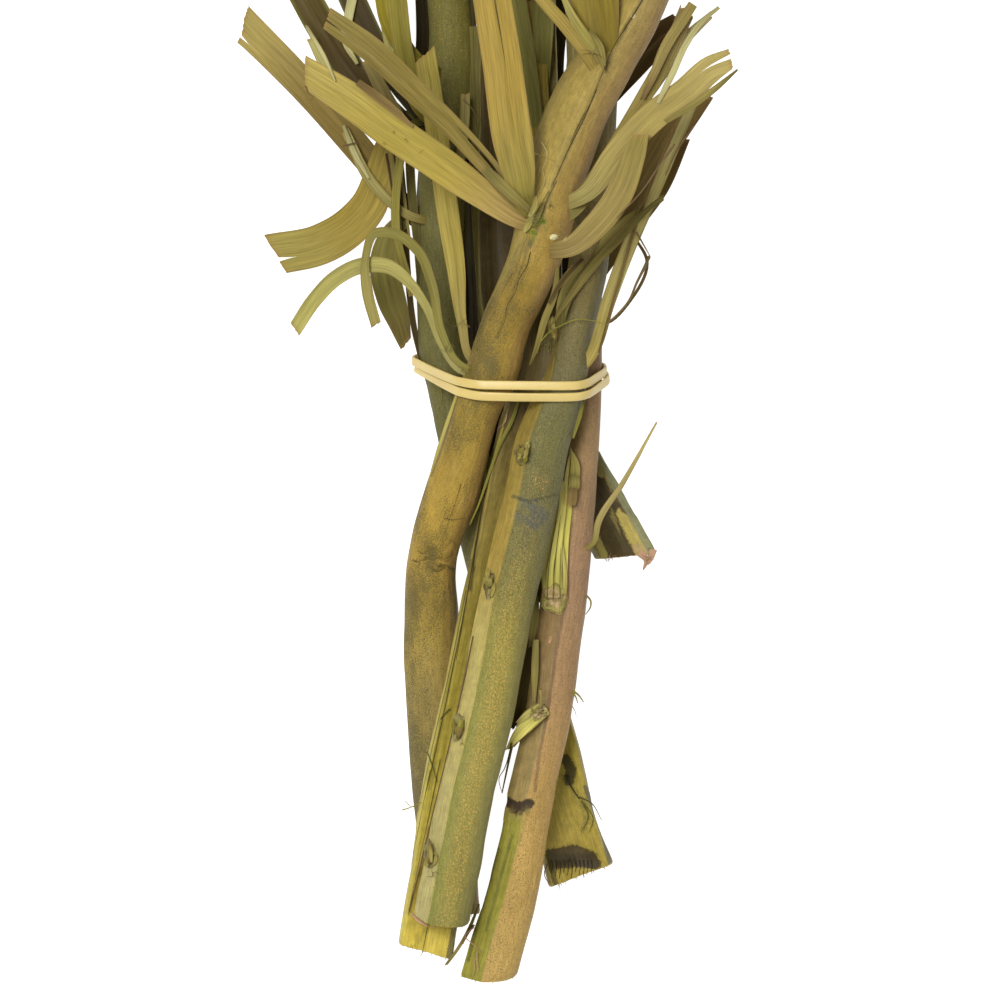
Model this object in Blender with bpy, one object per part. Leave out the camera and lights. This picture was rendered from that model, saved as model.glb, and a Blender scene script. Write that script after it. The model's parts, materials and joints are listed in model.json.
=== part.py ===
"""A bunch of six dried coco palm leaf stems, held by a rubber band wound twice.

The bunch lies on a table: its cut ends point to -Y, its leafy tips to +Y, and +Z is up.
Each stem is a loft along a curved path, with its trimmed leaflets fused to it. The
stems lie on each other, so their heights come from a map of what is already lying
there: stem by stem, each one rests on the stems and leaflets laid down before it.
All layout sizes are in millimetres, and the meshes are in metres.
"""

import math

import bpy
import numpy as np

# Driving dimensions, in millimetres
GAP = 0.4                  # air kept between two stems that lie on each other
BLADE_THICKNESS = 0.8      # dried leaflet, with its rib
STEM_BEND_RADIUS = 400.0   # how tightly a lying stem can sag between its supports
BLADE_BEND_RADIUS = 60.0   # the same for a leaflet
STEM_STEP = 20.0           # length of one stretch of a stem's loft
STEM_SIDES = 10            # corners of a stem's section
FLOOR_PRESS = 0.25         # depth of the flat that a lying stem has on its underside
BAND_WIDTH = 2.7
BAND_THICKNESS = 1.0
BAND_FRONT_Y = 33.0        # where the band crosses the top of the bunch
BAND_TILT = 0.28           # how far the band's plane leans towards the leafy end
BAND_SPREAD = 1.75         # half the distance between its two turns on top
BAND_CLEAR = 0.75          # air under the band, which spans the hollows between stems
BAND_STATIONS = 96
CENTRE_X = 11.0            # middle of the finished bunch, brought to the origin
CENTRE_Y = 172.6
MM = 0.001

# Stems from the cut end to the tip: x, y, half width, half depth, roll in degrees.
# Roll 0 shows the rounded back of the stem, and 180 its hollow upper face.
STEMS = {
    "stem_e": [
        (38.1, -17.1, 8.6, 6.2, 168), (32.1, -6.0, 8.5, 6.2, 168),
        (26.1, 4.5, 8.4, 6.2, 168), (20.4, 15.0, 8.3, 6.1, 168),
        (15.0, 24.6, 8.2, 6.1, 168), (9.3, 34.5, 7.9, 6.0, 170),
        (4.2, 45.0, 7.2, 6.0, 172), (0.6, 58.0, 6.6, 5.9, 175),
        (-0.7, 75.0, 6.1, 5.8, 180), (-0.8, 105.0, 5.8, 5.6, 180),
        (-1.0, 150.0, 5.6, 5.2, 180), (-5.0, 200.0, 5.3, 4.8, 180),
        (-17.0, 260.0, 5.0, 4.4, 180), (-31.0, 330.0, 4.2, 3.8, 180),
        (-43.0, 390.0, 3.2, 3.0, 180), (-53.0, 456.0, 1.6, 1.7, 180)],
    "stem_f": [
        (24.6, -114.0, 10.4, 6.2, 180), (19.8, -97.0, 9.6, 6.2, 180),
        (14.4, -72.0, 8.7, 6.2, 180), (10.5, -58.0, 8.2, 6.2, 178),
        (3.6, -39.0, 7.8, 6.2, 165), (-3.9, -15.0, 7.5, 6.2, 140),
        (-9.0, 6.0, 7.4, 6.1, 100), (-12.9, 25.5, 7.3, 6.1, 60),
        (-15.0, 36.0, 7.2, 6.1, 45), (-17.1, 45.0, 7.3, 6.1, 35),
        (-17.7, 62.0, 7.5, 6.0, 28), (-17.4, 96.0, 7.8, 5.9, 24),
        (-15.6, 120.0, 7.6, 5.8, 22), (-14.6, 135.0, 7.3, 5.7, 22),
        (-15.4, 152.0, 7.0, 5.6, 20), (-20.0, 190.0, 6.4, 5.2, 14),
        (-33.0, 250.0, 5.8, 4.8, 8), (-52.0, 315.0, 5.0, 4.2, 0),
        (-73.0, 385.0, 3.6, 3.2, 0), (-92.0, 452.0, 1.6, 1.7, 0)],
    "stem_c": [
        (-22.5, -136.0, 8.6, 6.0, 176), (-18.6, -113.0, 8.6, 6.0, 176),
        (-14.1, -84.0, 8.6, 6.0, 176), (-9.0, -60.0, 8.6, 6.0, 176),
        (-3.6, -32.4, 8.5, 6.0, 176), (2.1, -4.5, 8.4, 6.0, 176),
        (4.8, 7.0, 8.6, 6.0, 176), (7.8, 18.9, 8.6, 6.0, 176),
        (10.6, 30.0, 8.3, 6.0, 176), (11.8, 36.0, 7.8, 6.0, 176),
        (12.7, 45.0, 7.0, 6.0, 176), (12.9, 55.0, 6.4, 5.9, 178),
        (12.7, 75.0, 5.8, 5.8, 180), (12.6, 105.0, 5.4, 5.6, 180),
        (12.0, 140.0, 5.2, 5.2, 180), (9.0, 200.0, 5.0, 4.8, 180),
        (3.0, 270.0, 4.5, 4.2, 180), (-6.0, 350.0, 3.7, 3.4, 180),
        (-13.0, 452.0, 1.6, 1.7, 180)],
    "stem_d": [
        (-3.4, -143.7, 8.2, 6.2, -52), (0.3, -130.5, 8.1, 6.2, -52),
        (4.0, -116.4, 7.8, 6.2, -52), (6.8, -103.8, 7.3, 6.2, -52),
        (10.1, -85.2, 7.0, 6.2, -54), (13.6, -70.2, 6.8, 6.2, -56),
        (15.7, -57.0, 6.9, 6.2, -56), (18.5, -34.8, 7.0, 6.2, -56),
        (20.7, -14.0, 7.1, 6.1, -56), (23.4, 8.1, 6.0, 6.1, -56),
        (24.8, 19.5, 5.3, 6.0, -56), (25.9, 34.5, 4.9, 6.0, -56),
        (25.9, 52.0, 4.8, 5.9, -56), (25.7, 75.0, 4.7, 5.8, -50),
        (25.4, 105.0, 4.8, 5.6, -40), (24.6, 140.0, 4.9, 5.2, -30),
        (23.5, 200.0, 4.8, 4.8, -15), (22.0, 280.0, 4.3, 4.2, 0),
        (24.0, 360.0, 3.4, 3.3, 0), (27.0, 454.0, 1.6, 1.7, 0)],
    "stem_b": [
        (-17.6, -126.3, 8.4, 6.2, -22), (-13.8, -106.5, 8.4, 6.2, -22),
        (-10.2, -87.6, 8.3, 6.2, -22), (-3.6, -60.0, 8.4, 6.2, -22),
        (1.6, -32.1, 8.3, 6.2, -22), (6.0, -12.9, 8.2, 6.2, -22),
        (9.5, 1.2, 8.2, 6.2, -22), (13.1, 18.6, 8.0, 6.2, -20),
        (17.1, 28.8, 7.4, 6.1, -14), (19.4, 35.0, 6.7, 6.1, -8),
        (21.0, 42.0, 6.1, 6.0, 0), (22.8, 52.5, 5.9, 6.0, 0),
        (26.4, 73.0, 6.1, 6.0, 0), (27.6, 96.0, 6.3, 5.9, 0),
        (28.5, 120.0, 6.4, 5.8, 0), (31.0, 150.0, 6.2, 5.6, 0),
        (38.0, 200.0, 5.6, 5.2, 0), (46.0, 260.0, 5.0, 4.7, 0),
        (54.0, 330.0, 4.2, 4.0, 0), (60.0, 392.0, 3.1, 3.0, 0),
        (65.0, 456.0, 1.6, 1.7, 0)],
    "stem_a": [
        (-14.4, -125.7, 8.3, 6.2, 8), (-16.5, -101.4, 8.5, 6.2, 8),
        (-18.6, -84.0, 8.5, 6.2, 8), (-20.4, -60.0, 8.4, 6.2, 8),
        (-20.9, -33.0, 8.2, 6.2, 8), (-20.7, -18.0, 7.5, 6.2, 8),
        (-14.4, 3.0, 8.2, 6.2, 6), (-10.8, 14.4, 7.6, 6.2, 6),
        (-6.2, 29.4, 7.2, 6.1, 4), (-3.0, 37.0, 7.7, 6.1, 4),
        (1.1, 51.3, 7.5, 6.1, 2), (5.6, 61.2, 7.8, 6.1, 0),
        (12.8, 81.0, 8.7, 6.4, -4), (15.0, 94.0, 9.4, 6.5, -6),
        (21.3, 111.6, 9.5, 6.5, -8), (25.0, 120.0, 9.3, 6.5, -8),
        (33.0, 133.2, 8.9, 6.4, -8), (42.0, 150.0, 8.3, 6.2, -8),
        (59.0, 190.0, 7.2, 5.6, -4), (77.0, 245.0, 6.2, 5.0, 0),
        (91.0, 305.0, 5.2, 4.4, 0), (100.0, 365.0, 4.2, 3.8, 0),
        (106.0, 458.0, 1.6, 1.7, 0)],
}

# Heights of the stems' middles as y and z, up to where they lie free above the tie
HEIGHTS = {
    "stem_e": [(-20.0, 5.95), (2.0, 5.95), (41.0, 9.35), (58.0, 9.2)],
    "stem_f": [(-120.0, 5.95), (-60.0, 5.95), (0.0, 7.3), (41.0, 9.35), (58.0, 9.2)],
    "stem_c": [(-140.0, 20.4), (-60.0, 20.6), (0.0, 20.9), (35.0, 21.6), (45.0, 21.2)],
    "stem_d": [(-145.0, 20.6), (-60.0, 20.2), (20.0, 20.4), (35.0, 20.6), (45.0, 19.6)],
    "stem_b": [(-130.0, 33.2), (-60.0, 33.2), (0.0, 33.6), (35.0, 34.2), (45.0, 33.6)],
    "stem_a": [(-130.0, 5.95), (-45.0, 5.95), (-33.0, 9.0), (-18.0, 17.0), (-4.0, 21.4),
               (14.0, 26.0), (29.0, 30.9), (37.0, 33.2), (45.0, 35.2), (60.0, 38.4)],
}
CUT_SLANT = {"stem_e": 0.42, "stem_f": -0.08, "stem_c": 0.12, "stem_d": -0.05,
             "stem_b": 0.08, "stem_a": 0.1}

# Leaflets that can be told apart: name, points (x, y, rise), half widths, bank, fold.
# The first point lies in the stem, and rise is the height above the stem's middle.
LEAFLETS = {
    "stem_e": [],
    "stem_f": [
        ("inner_short", [(-15, 94, 3), (-12, 104, 6.6), (-10.8, 114, 7.5), (-10.5, 123, 8)],
         [1.4, 1.5, 1.5, 1.4], 0, 0),
        ("left_straight", [(-17, 78, 0), (-28, 88, 1), (-42, 105.5, 3), (-58, 124, 4),
                           (-78, 144.5, 3)], [1.8, 3.0, 4.3, 4.6, 5.0], 12, 0.5),
        ("left_curved", [(-17, 118, 0), (-26, 116, 2), (-33, 108, 3), (-36.5, 98, 3),
                         (-40, 89, 2), (-46, 82.5, 0), (-55, 77.5, -2), (-68.5, 75, -4)],
         [1.8, 3.0, 4.2, 4.8, 5.6, 6.0, 6.2, 6.2], 0, 0),
        ("left_hanging", [(-17, 88, 0), (-27, 86.5, 2), (-33.5, 80, 2), (-35, 71, 1),
                          (-33, 61, 0), (-30.2, 53, -2), (-28.6, 47.5, -2)],
         [1.6, 2.0, 3.2, 4.6, 4.4, 3.2, 2.0], 0, 0.4),
        ("outer_dark_1", [(-15.6, 104, 0), (-28, 113, 1), (-42, 126, 2), (-53, 142, 2),
                          (-62, 158, 2)], [1.8, 3.2, 4.4, 4.8, 4.6], -10, 0.6),
        ("outer_dark_2", [(-15.6, 106, 0), (-25, 118, 2), (-36, 134, 3), (-44, 150, 3),
                          (-52, 170, 3)], [1.6, 2.6, 3.6, 4.0, 4.0], 14, 0.6),
        ("outer_green", [(-15, 108, 0), (-22, 118, 2), (-30, 131, 4), (-34, 150, 5),
                         (-37, 176, 4)], [1.6, 2.4, 2.8, 3.0, 2.8], 20, 0.5),
        ("upper_green_1", [(-15.0, 128, 0), (-25, 132, 1), (-32.5, 143, 3), (-35, 158, 3),
                           (-38, 185, 2)], [1.6, 2.6, 3.2, 3.4, 3.2], -14, 0.5),
        ("upper_green_2", [(-15.0, 110, 0), (-24, 118, 4), (-28.5, 132, 6), (-31, 150, 6),
                           (-33, 180, 6)], [1.6, 2.2, 2.9, 3.1, 3.0], 10, 0.6),
        ("thin_left_1", [(-17, 104, 0), (-28, 110, 1), (-41, 116, 1), (-52, 129, 0),
                         (-57.5, 140, 0)], [1.2, 1.2, 1.3, 1.3, 1.2], 0, 0),
        ("thin_left_2", [(-17, 84, 0), (-27, 86, 1), (-38, 95, 2), (-47, 112, 2)],
         [1.2, 1.3, 1.6, 1.3], 0, 0),
        ("thin_down_1", [(-17, 116, 0), (-27, 113, 2), (-30.5, 100, 2), (-31.5, 82, 1),
                         (-26.5, 62, 0)], [1.2, 1.2, 1.3, 1.3, 1.2], 0, 0),
        ("brown_blade", [(-16, 92, 0), (-26, 108, 3), (-33, 119, 4), (-40.5, 133, 4)],
         [1.6, 1.8, 2.2, 1.6], 0, 0.4),
    ],
    "stem_c": [
        ("on_back", [(13, 92, 3), (12, 104, 6.6), (10.5, 125, 7.4), (10, 150, 7.8)],
         [2.0, 3.4, 4.0, 3.4], 0, 0),
    ],
    "stem_d": [
        ("right_far", [(25.5, 62, 0), (31, 72, -2), (38, 84, -4), (46, 97, -5), (52, 110, -6)],
         [2.0, 3.4, 5.0, 6.0, 5.4], 14, 0.5),
        ("right_dark", [(25.5, 74, 0), (36, 86, 1), (44, 99, 1), (52.5, 113, 0),
                        (60, 122.5, 0)], [1.8, 3.6, 5.6, 5.4, 4.2], 24, 0.4),
        ("torn_base", [(17.6, -35.0, 3), (16.5, -30.5, 6.4), (16.9, -24, 6.8),
                       (18.5, -13, 6.4), (20.4, 0, 6.2), (21.4, 13, 6.2)],
         [2.8, 3.9, 3.5, 2.2, 1.5, 0.9], 0, 0),
        ("torn_flap", [(14.2, -64, 3), (12.6, -63.5, 5), (8.6, -67, 5), (3.4, -74, 4)],
         [1.6, 2.1, 1.7, 1.0], 0, 0),
        ("loose_sliver", [(22.5, -16, 1), (28.0, -13.0, 3), (29.4, -7, 4), (36.9, 5.1, 5),
                          (47.1, 23.4, 8)], [0.9, 0.8, 1.2, 1.2, 0.6], 0, 0),
        ("twig", [(26, 52, 0), (33.5, 54, 0), (38.4, 59, 0), (44.2, 72.5, 1),
                  (40.2, 79.5, 2)], [0.8, 0.8, 0.8, 0.8, 0.7], 0, 0),
        ("gap_slip", [(24.8, 98, 0), (37, 112, 0), (49, 128, 2), (56, 139, 3),
                      (63.5, 146, 3)], [1.2, 1.5, 1.4, 1.6, 1.0], 10, 0),
        ("behind_right", [(24, 110, 0), (38, 128, 1), (48, 139, 1), (54.5, 144, 1)],
         [1.6, 3.8, 4.4, 3.4], 18, 0.5),
    ],
    "stem_b": [
        ("crossing", [(18.5, 49, 0), (18.2, 55, 6.4), (21.5, 64.5, 7), (28.5, 73, 7),
                      (38, 82.5, 6), (48.6, 90.2, 5)], [1.2, 1.6, 2.5, 2.7, 2.2, 0.8], 12, 0.3),
        ("pale_edge", [(24, 38, 0), (27.6, 44, 4), (32.2, 58.8, 4.5), (38.2, 75, 4.5),
                       (48.0, 96.3, 5), (57.2, 117.5, 6)],
         [1.0, 1.8, 2.1, 2.2, 1.8, 1.4], -26, 0.2),
    ],
    "stem_a": [
        ("low_up", [(-2.4, 38.4, 0), (-8.5, 42, 2), (-11.4, 53, 1), (-13.2, 69.6, 0),
                    (-15.9, 87.9, 0), (-18.9, 110, 0), (-22.5, 133.5, 0)],
         [1.2, 1.2, 1.5, 2.8, 3.3, 3.3, 3.2], 0, 0.4),
        ("arching", [(-3, 36.5, 0), (-13, 39.5, 1), (-17.4, 46.5, 2), (-22.2, 57.9, 2),
                     (-26.7, 64.6, 2), (-33.3, 69.8, 2), (-41.1, 70.2, 1),
                     (-48.9, 66.6, 0), (-55.6, 60, -3), (-61.6, 51.2, -6)],
         [1.0, 1.0, 1.2, 1.3, 1.6, 2.2, 2.4, 2.4, 2.3, 2.2], 0, 0.3),
        ("bent", [(-3, 37, 0), (-12.5, 41, 3), (-17.4, 50, 4), (-20.4, 64.5, 4),
                  (-24.6, 74.5, 4), (-31, 79.4, 4), (-37.6, 79.6, 3), (-40.1, 73, 2),
                  (-39.6, 62, -1), (-37.0, 52.2, -4)],
         [1.0, 1.0, 1.2, 1.4, 1.5, 1.6, 1.4, 1.2, 1.7, 1.6], 0, 0.2),
        ("broad_left", [(12.6, 80.4, 0), (5.6, 83, 4), (-6.6, 91.2, 6), (-18, 99.4, 6.5),
                        (-31.5, 108.6, 6), (-45.6, 119, 5), (-57.6, 126.3, 3)],
         [2.0, 2.8, 4.4, 5.2, 5.3, 5.1, 4.4], 8, 0.35),
        ("narrow_left", [(12.6, 84, 0), (6.5, 87, 5), (-4.2, 99, 9), (-14.1, 109.8, 11),
                         (-24.9, 120, 12), (-38.1, 132.6, 12), (-51, 141.9, 10)],
         [1.4, 1.8, 2.8, 3.2, 3.6, 3.8, 3.1], -12, 0.35),
        ("split_up", [(13, 82, 0), (7.8, 87, 5), (5.4, 97.5, 7), (3.4, 108, 7.5),
                      (0.6, 129, 8), (-2.7, 150, 8), (-7, 186, 7)],
         [2.0, 3.0, 5.0, 6.0, 5.8, 5.5, 4.6], 0, 0.7),
        ("upright_broad", [(29.5, 123, 0), (30.5, 130, 5), (29.2, 138, 6), (27.6, 150, 6.5),
                           (26, 166, 7), (23.5, 190, 7)], [1.8, 3.6, 5.8, 7.2, 7.2, 6.0], 0, 0.9),
        ("curling", [(30, 124, 2), (25.8, 130.8, 6.5), (19, 139.8, 8), (12.2, 147.5, 10),
                     (6, 157, 12), (-2, 170, 14)], [1.4, 1.8, 1.9, 1.9, 1.9, 1.7], 12, 0.2),
        ("right_long", [(13.5, 81, 0), (21.6, 86, 2), (27.5, 94, 3), (34.4, 105, 3.5),
                        (42.4, 118.8, 4), (49.2, 131, 4), (55.2, 144.4, 4)],
         [1.8, 2.4, 2.5, 2.4, 2.3, 2.3, 2.5], -20, 0.4),
        ("right_upper", [(15, 86, 0), (25.5, 90.5, 5), (33.6, 100.8, 8), (44.7, 112.6, 10),
                         (54.9, 120.3, 11), (61.5, 126.3, 11), (68, 129.8, 11)],
         [1.6, 2.6, 3.8, 4.3, 4.2, 4.0, 2.8], 10, 0.5),
        ("right_lower", [(11, 74, 0), (19.8, 74.2, 2), (28, 80.5, 3), (34.8, 89.5, 3),
                         (39.2, 101, 3), (41.4, 107.5, 2)],
         [1.8, 2.8, 3.8, 4.0, 3.4, 2.2], 22, 0.5),
    ],
}

# Leaflets beyond those: they follow one rule up to the tip of each stem
FIRST_CLUSTER_Y = {"stem_e": 128.0, "stem_f": 168.0, "stem_c": 100.0, "stem_d": 150.0,
                   "stem_b": 140.0, "stem_a": 178.0}
CLUSTER_STEP = 52.0
# For each stem: leaflets at odd and even nodes, and on its left and right flank the
# angle between leaflet and stem. Between the stems the leaflets are pressed upright.
NODE_LEAFLETS = {"stem_e": (1, 1), "stem_f": (2, 1), "stem_c": (1, 1), "stem_d": (1, 1),
                 "stem_b": (1, 2), "stem_a": (2, 1)}
SPREAD = {"stem_e": ((5, 9), (4, 8)), "stem_f": ((20, 36), (5, 9)),
          "stem_c": ((6, 12), (2, 5)), "stem_d": ((6, 12), (12, 22)),
          "stem_b": ((6, 14), (16, 30)), "stem_a": ((18, 36), (18, 34))}
ROOT_SHARE = {"stem_e": -0.75, "stem_f": 0.0, "stem_c": 0.35, "stem_d": 0.0,
              "stem_b": 0.0, "stem_a": 0.0}
RISE = {"stem_e": (-4, -3), "stem_f": (-4, 1), "stem_c": (0, 3), "stem_d": (-3, 1),
        "stem_b": (0, 6), "stem_a": (2, 16)}
BANK = {"stem_e": 0, "stem_f": 8, "stem_c": 3, "stem_d": 5, "stem_b": 14, "stem_a": 24}
BLADE_STRETCHES = 5
SEED = 11

# The map of what already lies on the table: the top of everything, cell by cell
CELL = 1.0
MAP_X0, MAP_Y0 = -240.0, -170.0
MAP_SIZE = (480, 760)


def curve(knots, values, at):
    """Smooth curve through the knots that never swings past them (limited slopes)."""
    knots, values, at = (np.asarray(a, float) for a in (knots, values, at))
    step = np.diff(knots)
    slope = np.diff(values) / step
    mean = (slope[:-1] + slope[1:]) / 2
    limit = 2 * np.minimum(abs(slope[:-1]), abs(slope[1:]))
    inner = np.where(slope[:-1] * slope[1:] > 0, np.sign(mean) * np.minimum(abs(mean), limit), 0)
    tangent = np.concatenate([slope[:1], inner, slope[-1:]])
    k = np.clip(np.searchsorted(knots, at) - 1, 0, len(step) - 1)
    t = (at - knots[k]) / step[k]
    rise = values[k + 1] - values[k]
    a = tangent[k] * step[k] - rise
    b = -tangent[k + 1] * step[k] + rise
    return values[k] + t * rise + t * (1 - t) * (a * (1 - t) + b * t)


def smooth_path(points, at):
    """Catmull-Rom curve through plan points, read at a fraction of its length."""
    points = np.asarray(points, float)
    knots = np.concatenate([[0], np.cumsum(np.linalg.norm(np.diff(points[:, :2], axis=0), axis=1))])
    slope = np.diff(points, axis=0) / np.diff(knots)[:, None]
    weight = np.diff(knots)
    inner = (slope[:-1] * weight[1:, None] + slope[1:] * weight[:-1, None])
    inner /= (weight[:-1] + weight[1:])[:, None]
    tangent = np.concatenate([slope[:1], inner, slope[-1:]])
    s = np.asarray(at, float) * knots[-1]
    k = np.clip(np.searchsorted(knots, s) - 1, 0, len(weight) - 1)
    h = weight[k][:, None]
    t = ((s - knots[k]) / weight[k])[:, None]
    p0, p1, m0, m1 = points[k], points[k + 1], tangent[k] * h, tangent[k + 1] * h
    return ((2 * t ** 3 - 3 * t ** 2 + 1) * p0 + (t ** 3 - 2 * t ** 2 + t) * m0
            + (3 * t ** 2 - 2 * t ** 3) * p1 + (t ** 3 - t ** 2) * m1)


def across(plan):
    """Unit vectors in the table plane, square to the path and pointing to its right."""
    ahead = np.gradient(plan, axis=0)
    ahead /= np.linalg.norm(ahead, axis=1)[:, None]
    return np.stack([ahead[:, 1], -ahead[:, 0]], axis=1)


def lifted_by_neighbours(z, s, radius):
    """Heights of a springy strip over its supports: each one lifts a parabola."""
    drop = (s[:, None] - s[None, :]) ** 2 / (2 * radius)
    return np.max(z[None, :] - drop, axis=1)


def stem_section(sides, roll):
    """Corners of a stem's section: round back, flat flanks and a hollow upper face.

    The back is a half circle. Below it the flanks run in to 0.55 of the depth, and the
    hollow face between them rises by a cosine. The turned outline is scaled to -1..1.
    """
    angle = (np.arange(sides) + 0.5) * 2 * math.pi / sides
    u, v = np.cos(angle), np.sin(angle)
    under = np.minimum(1.0, 2.4 * np.abs(v)) * (0.62 - 0.30 * np.cos(u * math.pi / 2) ** 2)
    v = np.where(v > 0, v, -under)
    turn = math.radians(roll)
    x = u * math.cos(turn) - v * math.sin(turn)
    y = u * math.sin(turn) + v * math.cos(turn)
    x = 2 * (x - x.min()) / (x.max() - x.min()) - 1
    y = 2 * (y - y.min()) / (y.max() - y.min()) - 1
    return np.stack([x, y], axis=1)


class Pile:
    """The height of what lies on the table, on a grid of square cells."""

    def __init__(self):
        self.top = np.full(MAP_SIZE, -GAP)

    def cells(self, x, y):
        i = np.clip(np.rint((x - MAP_X0) / CELL).astype(int), 1, MAP_SIZE[0] - 2)
        j = np.clip(np.rint((y - MAP_Y0) / CELL).astype(int), 1, MAP_SIZE[1] - 2)
        return i, j

    def spread(self, plan, side, half, u):
        """Sample points between stations, dense along the path and across it."""
        t = np.linspace(0, 1, 17)[None, :, None]
        lerp = lambda a: a[:-1, None, None] * (1 - t) + a[1:, None, None] * t
        x = lerp(plan[:, 0]) + lerp(side[:, 0] * half) * u
        y = lerp(plan[:, 1]) + lerp(side[:, 1] * half) * u
        return x, y, lerp

    def needed(self, plan, side, half, u, under):
        """Lowest middle height at each station that clears the pile."""
        x, y, lerp = self.spread(plan, side, half, u)
        i, j = self.cells(x, y)
        stretch = (self.top[i, j] + GAP - under(lerp)).max(axis=(1, 2))
        return np.maximum(np.concatenate([stretch[:1], stretch]),
                          np.concatenate([stretch, stretch[-1:]]))

    def add(self, plan, side, half, u, z, over):
        """Lay a strip on the pile: its top counts in each cell and the cells around."""
        x, y, lerp = self.spread(plan, side, half, u)
        top = lerp(z) + over(lerp)
        i, j = self.cells(x, y)
        for di in (-1, 0, 1):
            for dj in (-1, 0, 1):
                np.maximum.at(self.top, (i + di, j + dj), top)


def lay_stem(name, pile):
    """Stations of one stem: plan, side, half width, half depth, roll and height."""
    knots = np.array(STEMS[name])
    length = np.linalg.norm(np.diff(knots[:, :2], axis=0), axis=1).sum()
    at = np.linspace(0, 1, int(round(length / STEM_STEP)) + 1)
    row = smooth_path(knots, at)
    plan, half, depth, roll = row[:, :2], row[:, 2], row[:, 3], row[:, 4]
    side = across(plan)
    u = np.linspace(-1, 1, 15)
    bulge = (1 - np.abs(u) ** 3) ** (1 / 3)
    need = pile.needed(plan, side, half, u, lambda lerp: -lerp(depth) * bulge)
    s = at * length
    by_hand = np.interp(plan[:, 1], *np.array(HEIGHTS[name]).T)
    hand = plan[:, 1] <= HEIGHTS[name][-1][0]
    floor = depth - FLOOR_PRESS
    free = lifted_by_neighbours(np.where(hand, by_hand, np.maximum(need, floor)), s,
                                STEM_BEND_RADIUS)
    last = by_hand[hand][-1]
    from_hand = last - (s - s[hand][-1]) ** 2 / (2 * STEM_BEND_RADIUS)
    z = np.where(hand, by_hand, np.maximum(free, from_hand))
    return {"plan": plan, "side": side, "half": half, "depth": depth, "roll": roll, "z": z}


def add_stem(stem, pile):
    """Count a stem in the pile, once its own leaflets have been laid beside it."""
    u = np.linspace(-1, 1, 15)
    bulge = (1 - np.abs(u) ** 3) ** (1 / 3)
    depth = stem["depth"]
    pile.add(stem["plan"], stem["side"], stem["half"], u, stem["z"],
             lambda lerp: lerp(depth) * bulge)


def lay_leaflet(points, widths, bank, fold, stem, pile):
    """Stations of one leaflet, laid on the pile from its root in the stem to its tip."""
    points = np.asarray(points, float)
    count = max(BLADE_STRETCHES, len(points)) + 1
    at = np.linspace(0, 1, count)
    row = smooth_path(points, at)
    chord = np.concatenate([[0], np.cumsum(np.linalg.norm(np.diff(points[:, :2], axis=0), axis=1))])
    half = curve(chord / chord[-1], widths, at)
    plan = row[:, :2]
    side = across(plan)
    root = stem["z"][np.argmin(np.linalg.norm(stem["plan"] - plan[0], axis=1))]
    lean = math.tan(math.radians(bank)) * np.clip(at * 3, 0, 1)
    u = np.linspace(-1, 1, 9)
    crown = fold * (1 - np.abs(u))
    tilt = lambda lerp: lerp(half * lean) * u + lerp(half) * 0.25 * crown
    need = pile.needed(plan, side, half, u, lambda lerp: tilt(lerp) - BLADE_THICKNESS / 2)
    z = np.maximum(root + row[:, 2], need)
    z[0] = max(root + row[0, 2], BLADE_THICKNESS / 2)
    s = at * chord[-1]
    z[1:] = lifted_by_neighbours(z[1:], s[1:], BLADE_BEND_RADIUS)
    pile.add(plan, side, half, u, z, lambda lerp: tilt(lerp) + BLADE_THICKNESS / 2)
    return {"plan": plan, "side": side, "half": half, "lean": lean, "fold": fold, "z": z}


def clusters(name, stem, draw):
    """Leaflets that follow the rule: on both flanks in turn, trimmed shorter at the tip."""
    found = []
    start, end = FIRST_CLUSTER_Y[name], stem["plan"][-1, 1]
    y, count = start, 0
    while y < end - 8:
        share = (y - start) / (end - start)
        for hand in (-1, 1):
            for turn in range(NODE_LEAFLETS[name][count % 2]):
                k = int(np.argmin(abs(stem["plan"][:, 1] - (y + 18 * (hand > 0) + 5 * turn))))
                k = min(max(k, 1), len(stem["plan"]) - 2)
                root = stem["plan"][k]
                ahead = stem["plan"][k + 1] - stem["plan"][k - 1]
                heading = math.atan2(ahead[1], ahead[0])
                low, high = SPREAD[name][hand > 0]
                spread = math.radians(draw.uniform(low, high) + 14 * turn + 8 * share)
                reach = (112 - 62 * share) * draw.uniform(0.85, 1.08)
                curl = math.radians(draw.uniform(-0.5, 0.35) * high)
                wide = draw.uniform(3.9, 5.2) * (1 - 0.35 * share)
                rise = draw.uniform(*RISE[name])
                low_root = ROOT_SHARE[name] * stem["depth"][k]
                path = []
                for step in np.linspace(0, 1, 4):
                    turned = heading - hand * (spread + curl * step)
                    path.append((root[0] + reach * step * math.cos(turned),
                                 root[1] + reach * step * math.sin(turned),
                                 low_root + rise * math.sin(step * math.pi * 0.6)))
                widths = [1.8, wide * 0.9, wide, wide * 0.8]
                found.append((path, widths, draw.uniform(-BANK[name], BANK[name]), 0.0))
            count += 1
        y += CLUSTER_STEP * (1 - 0.2 * share)
    return found


def lay_bunch():
    """Every stem with its leaflets, in the order in which they lie on each other."""
    pile = Pile()
    draw = np.random.default_rng(SEED)
    bunch = {}
    for name in STEMS:
        stem = lay_stem(name, pile)
        rows = [(p, w, bank, fold) for _, p, w, bank, fold in LEAFLETS[name]]
        rows += clusters(name, stem, draw)
        blades = [lay_leaflet(p, w, bank, fold, stem, pile) for p, w, bank, fold in rows]
        add_stem(stem, pile)
        bunch[name] = (stem, blades)
    return bunch


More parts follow.
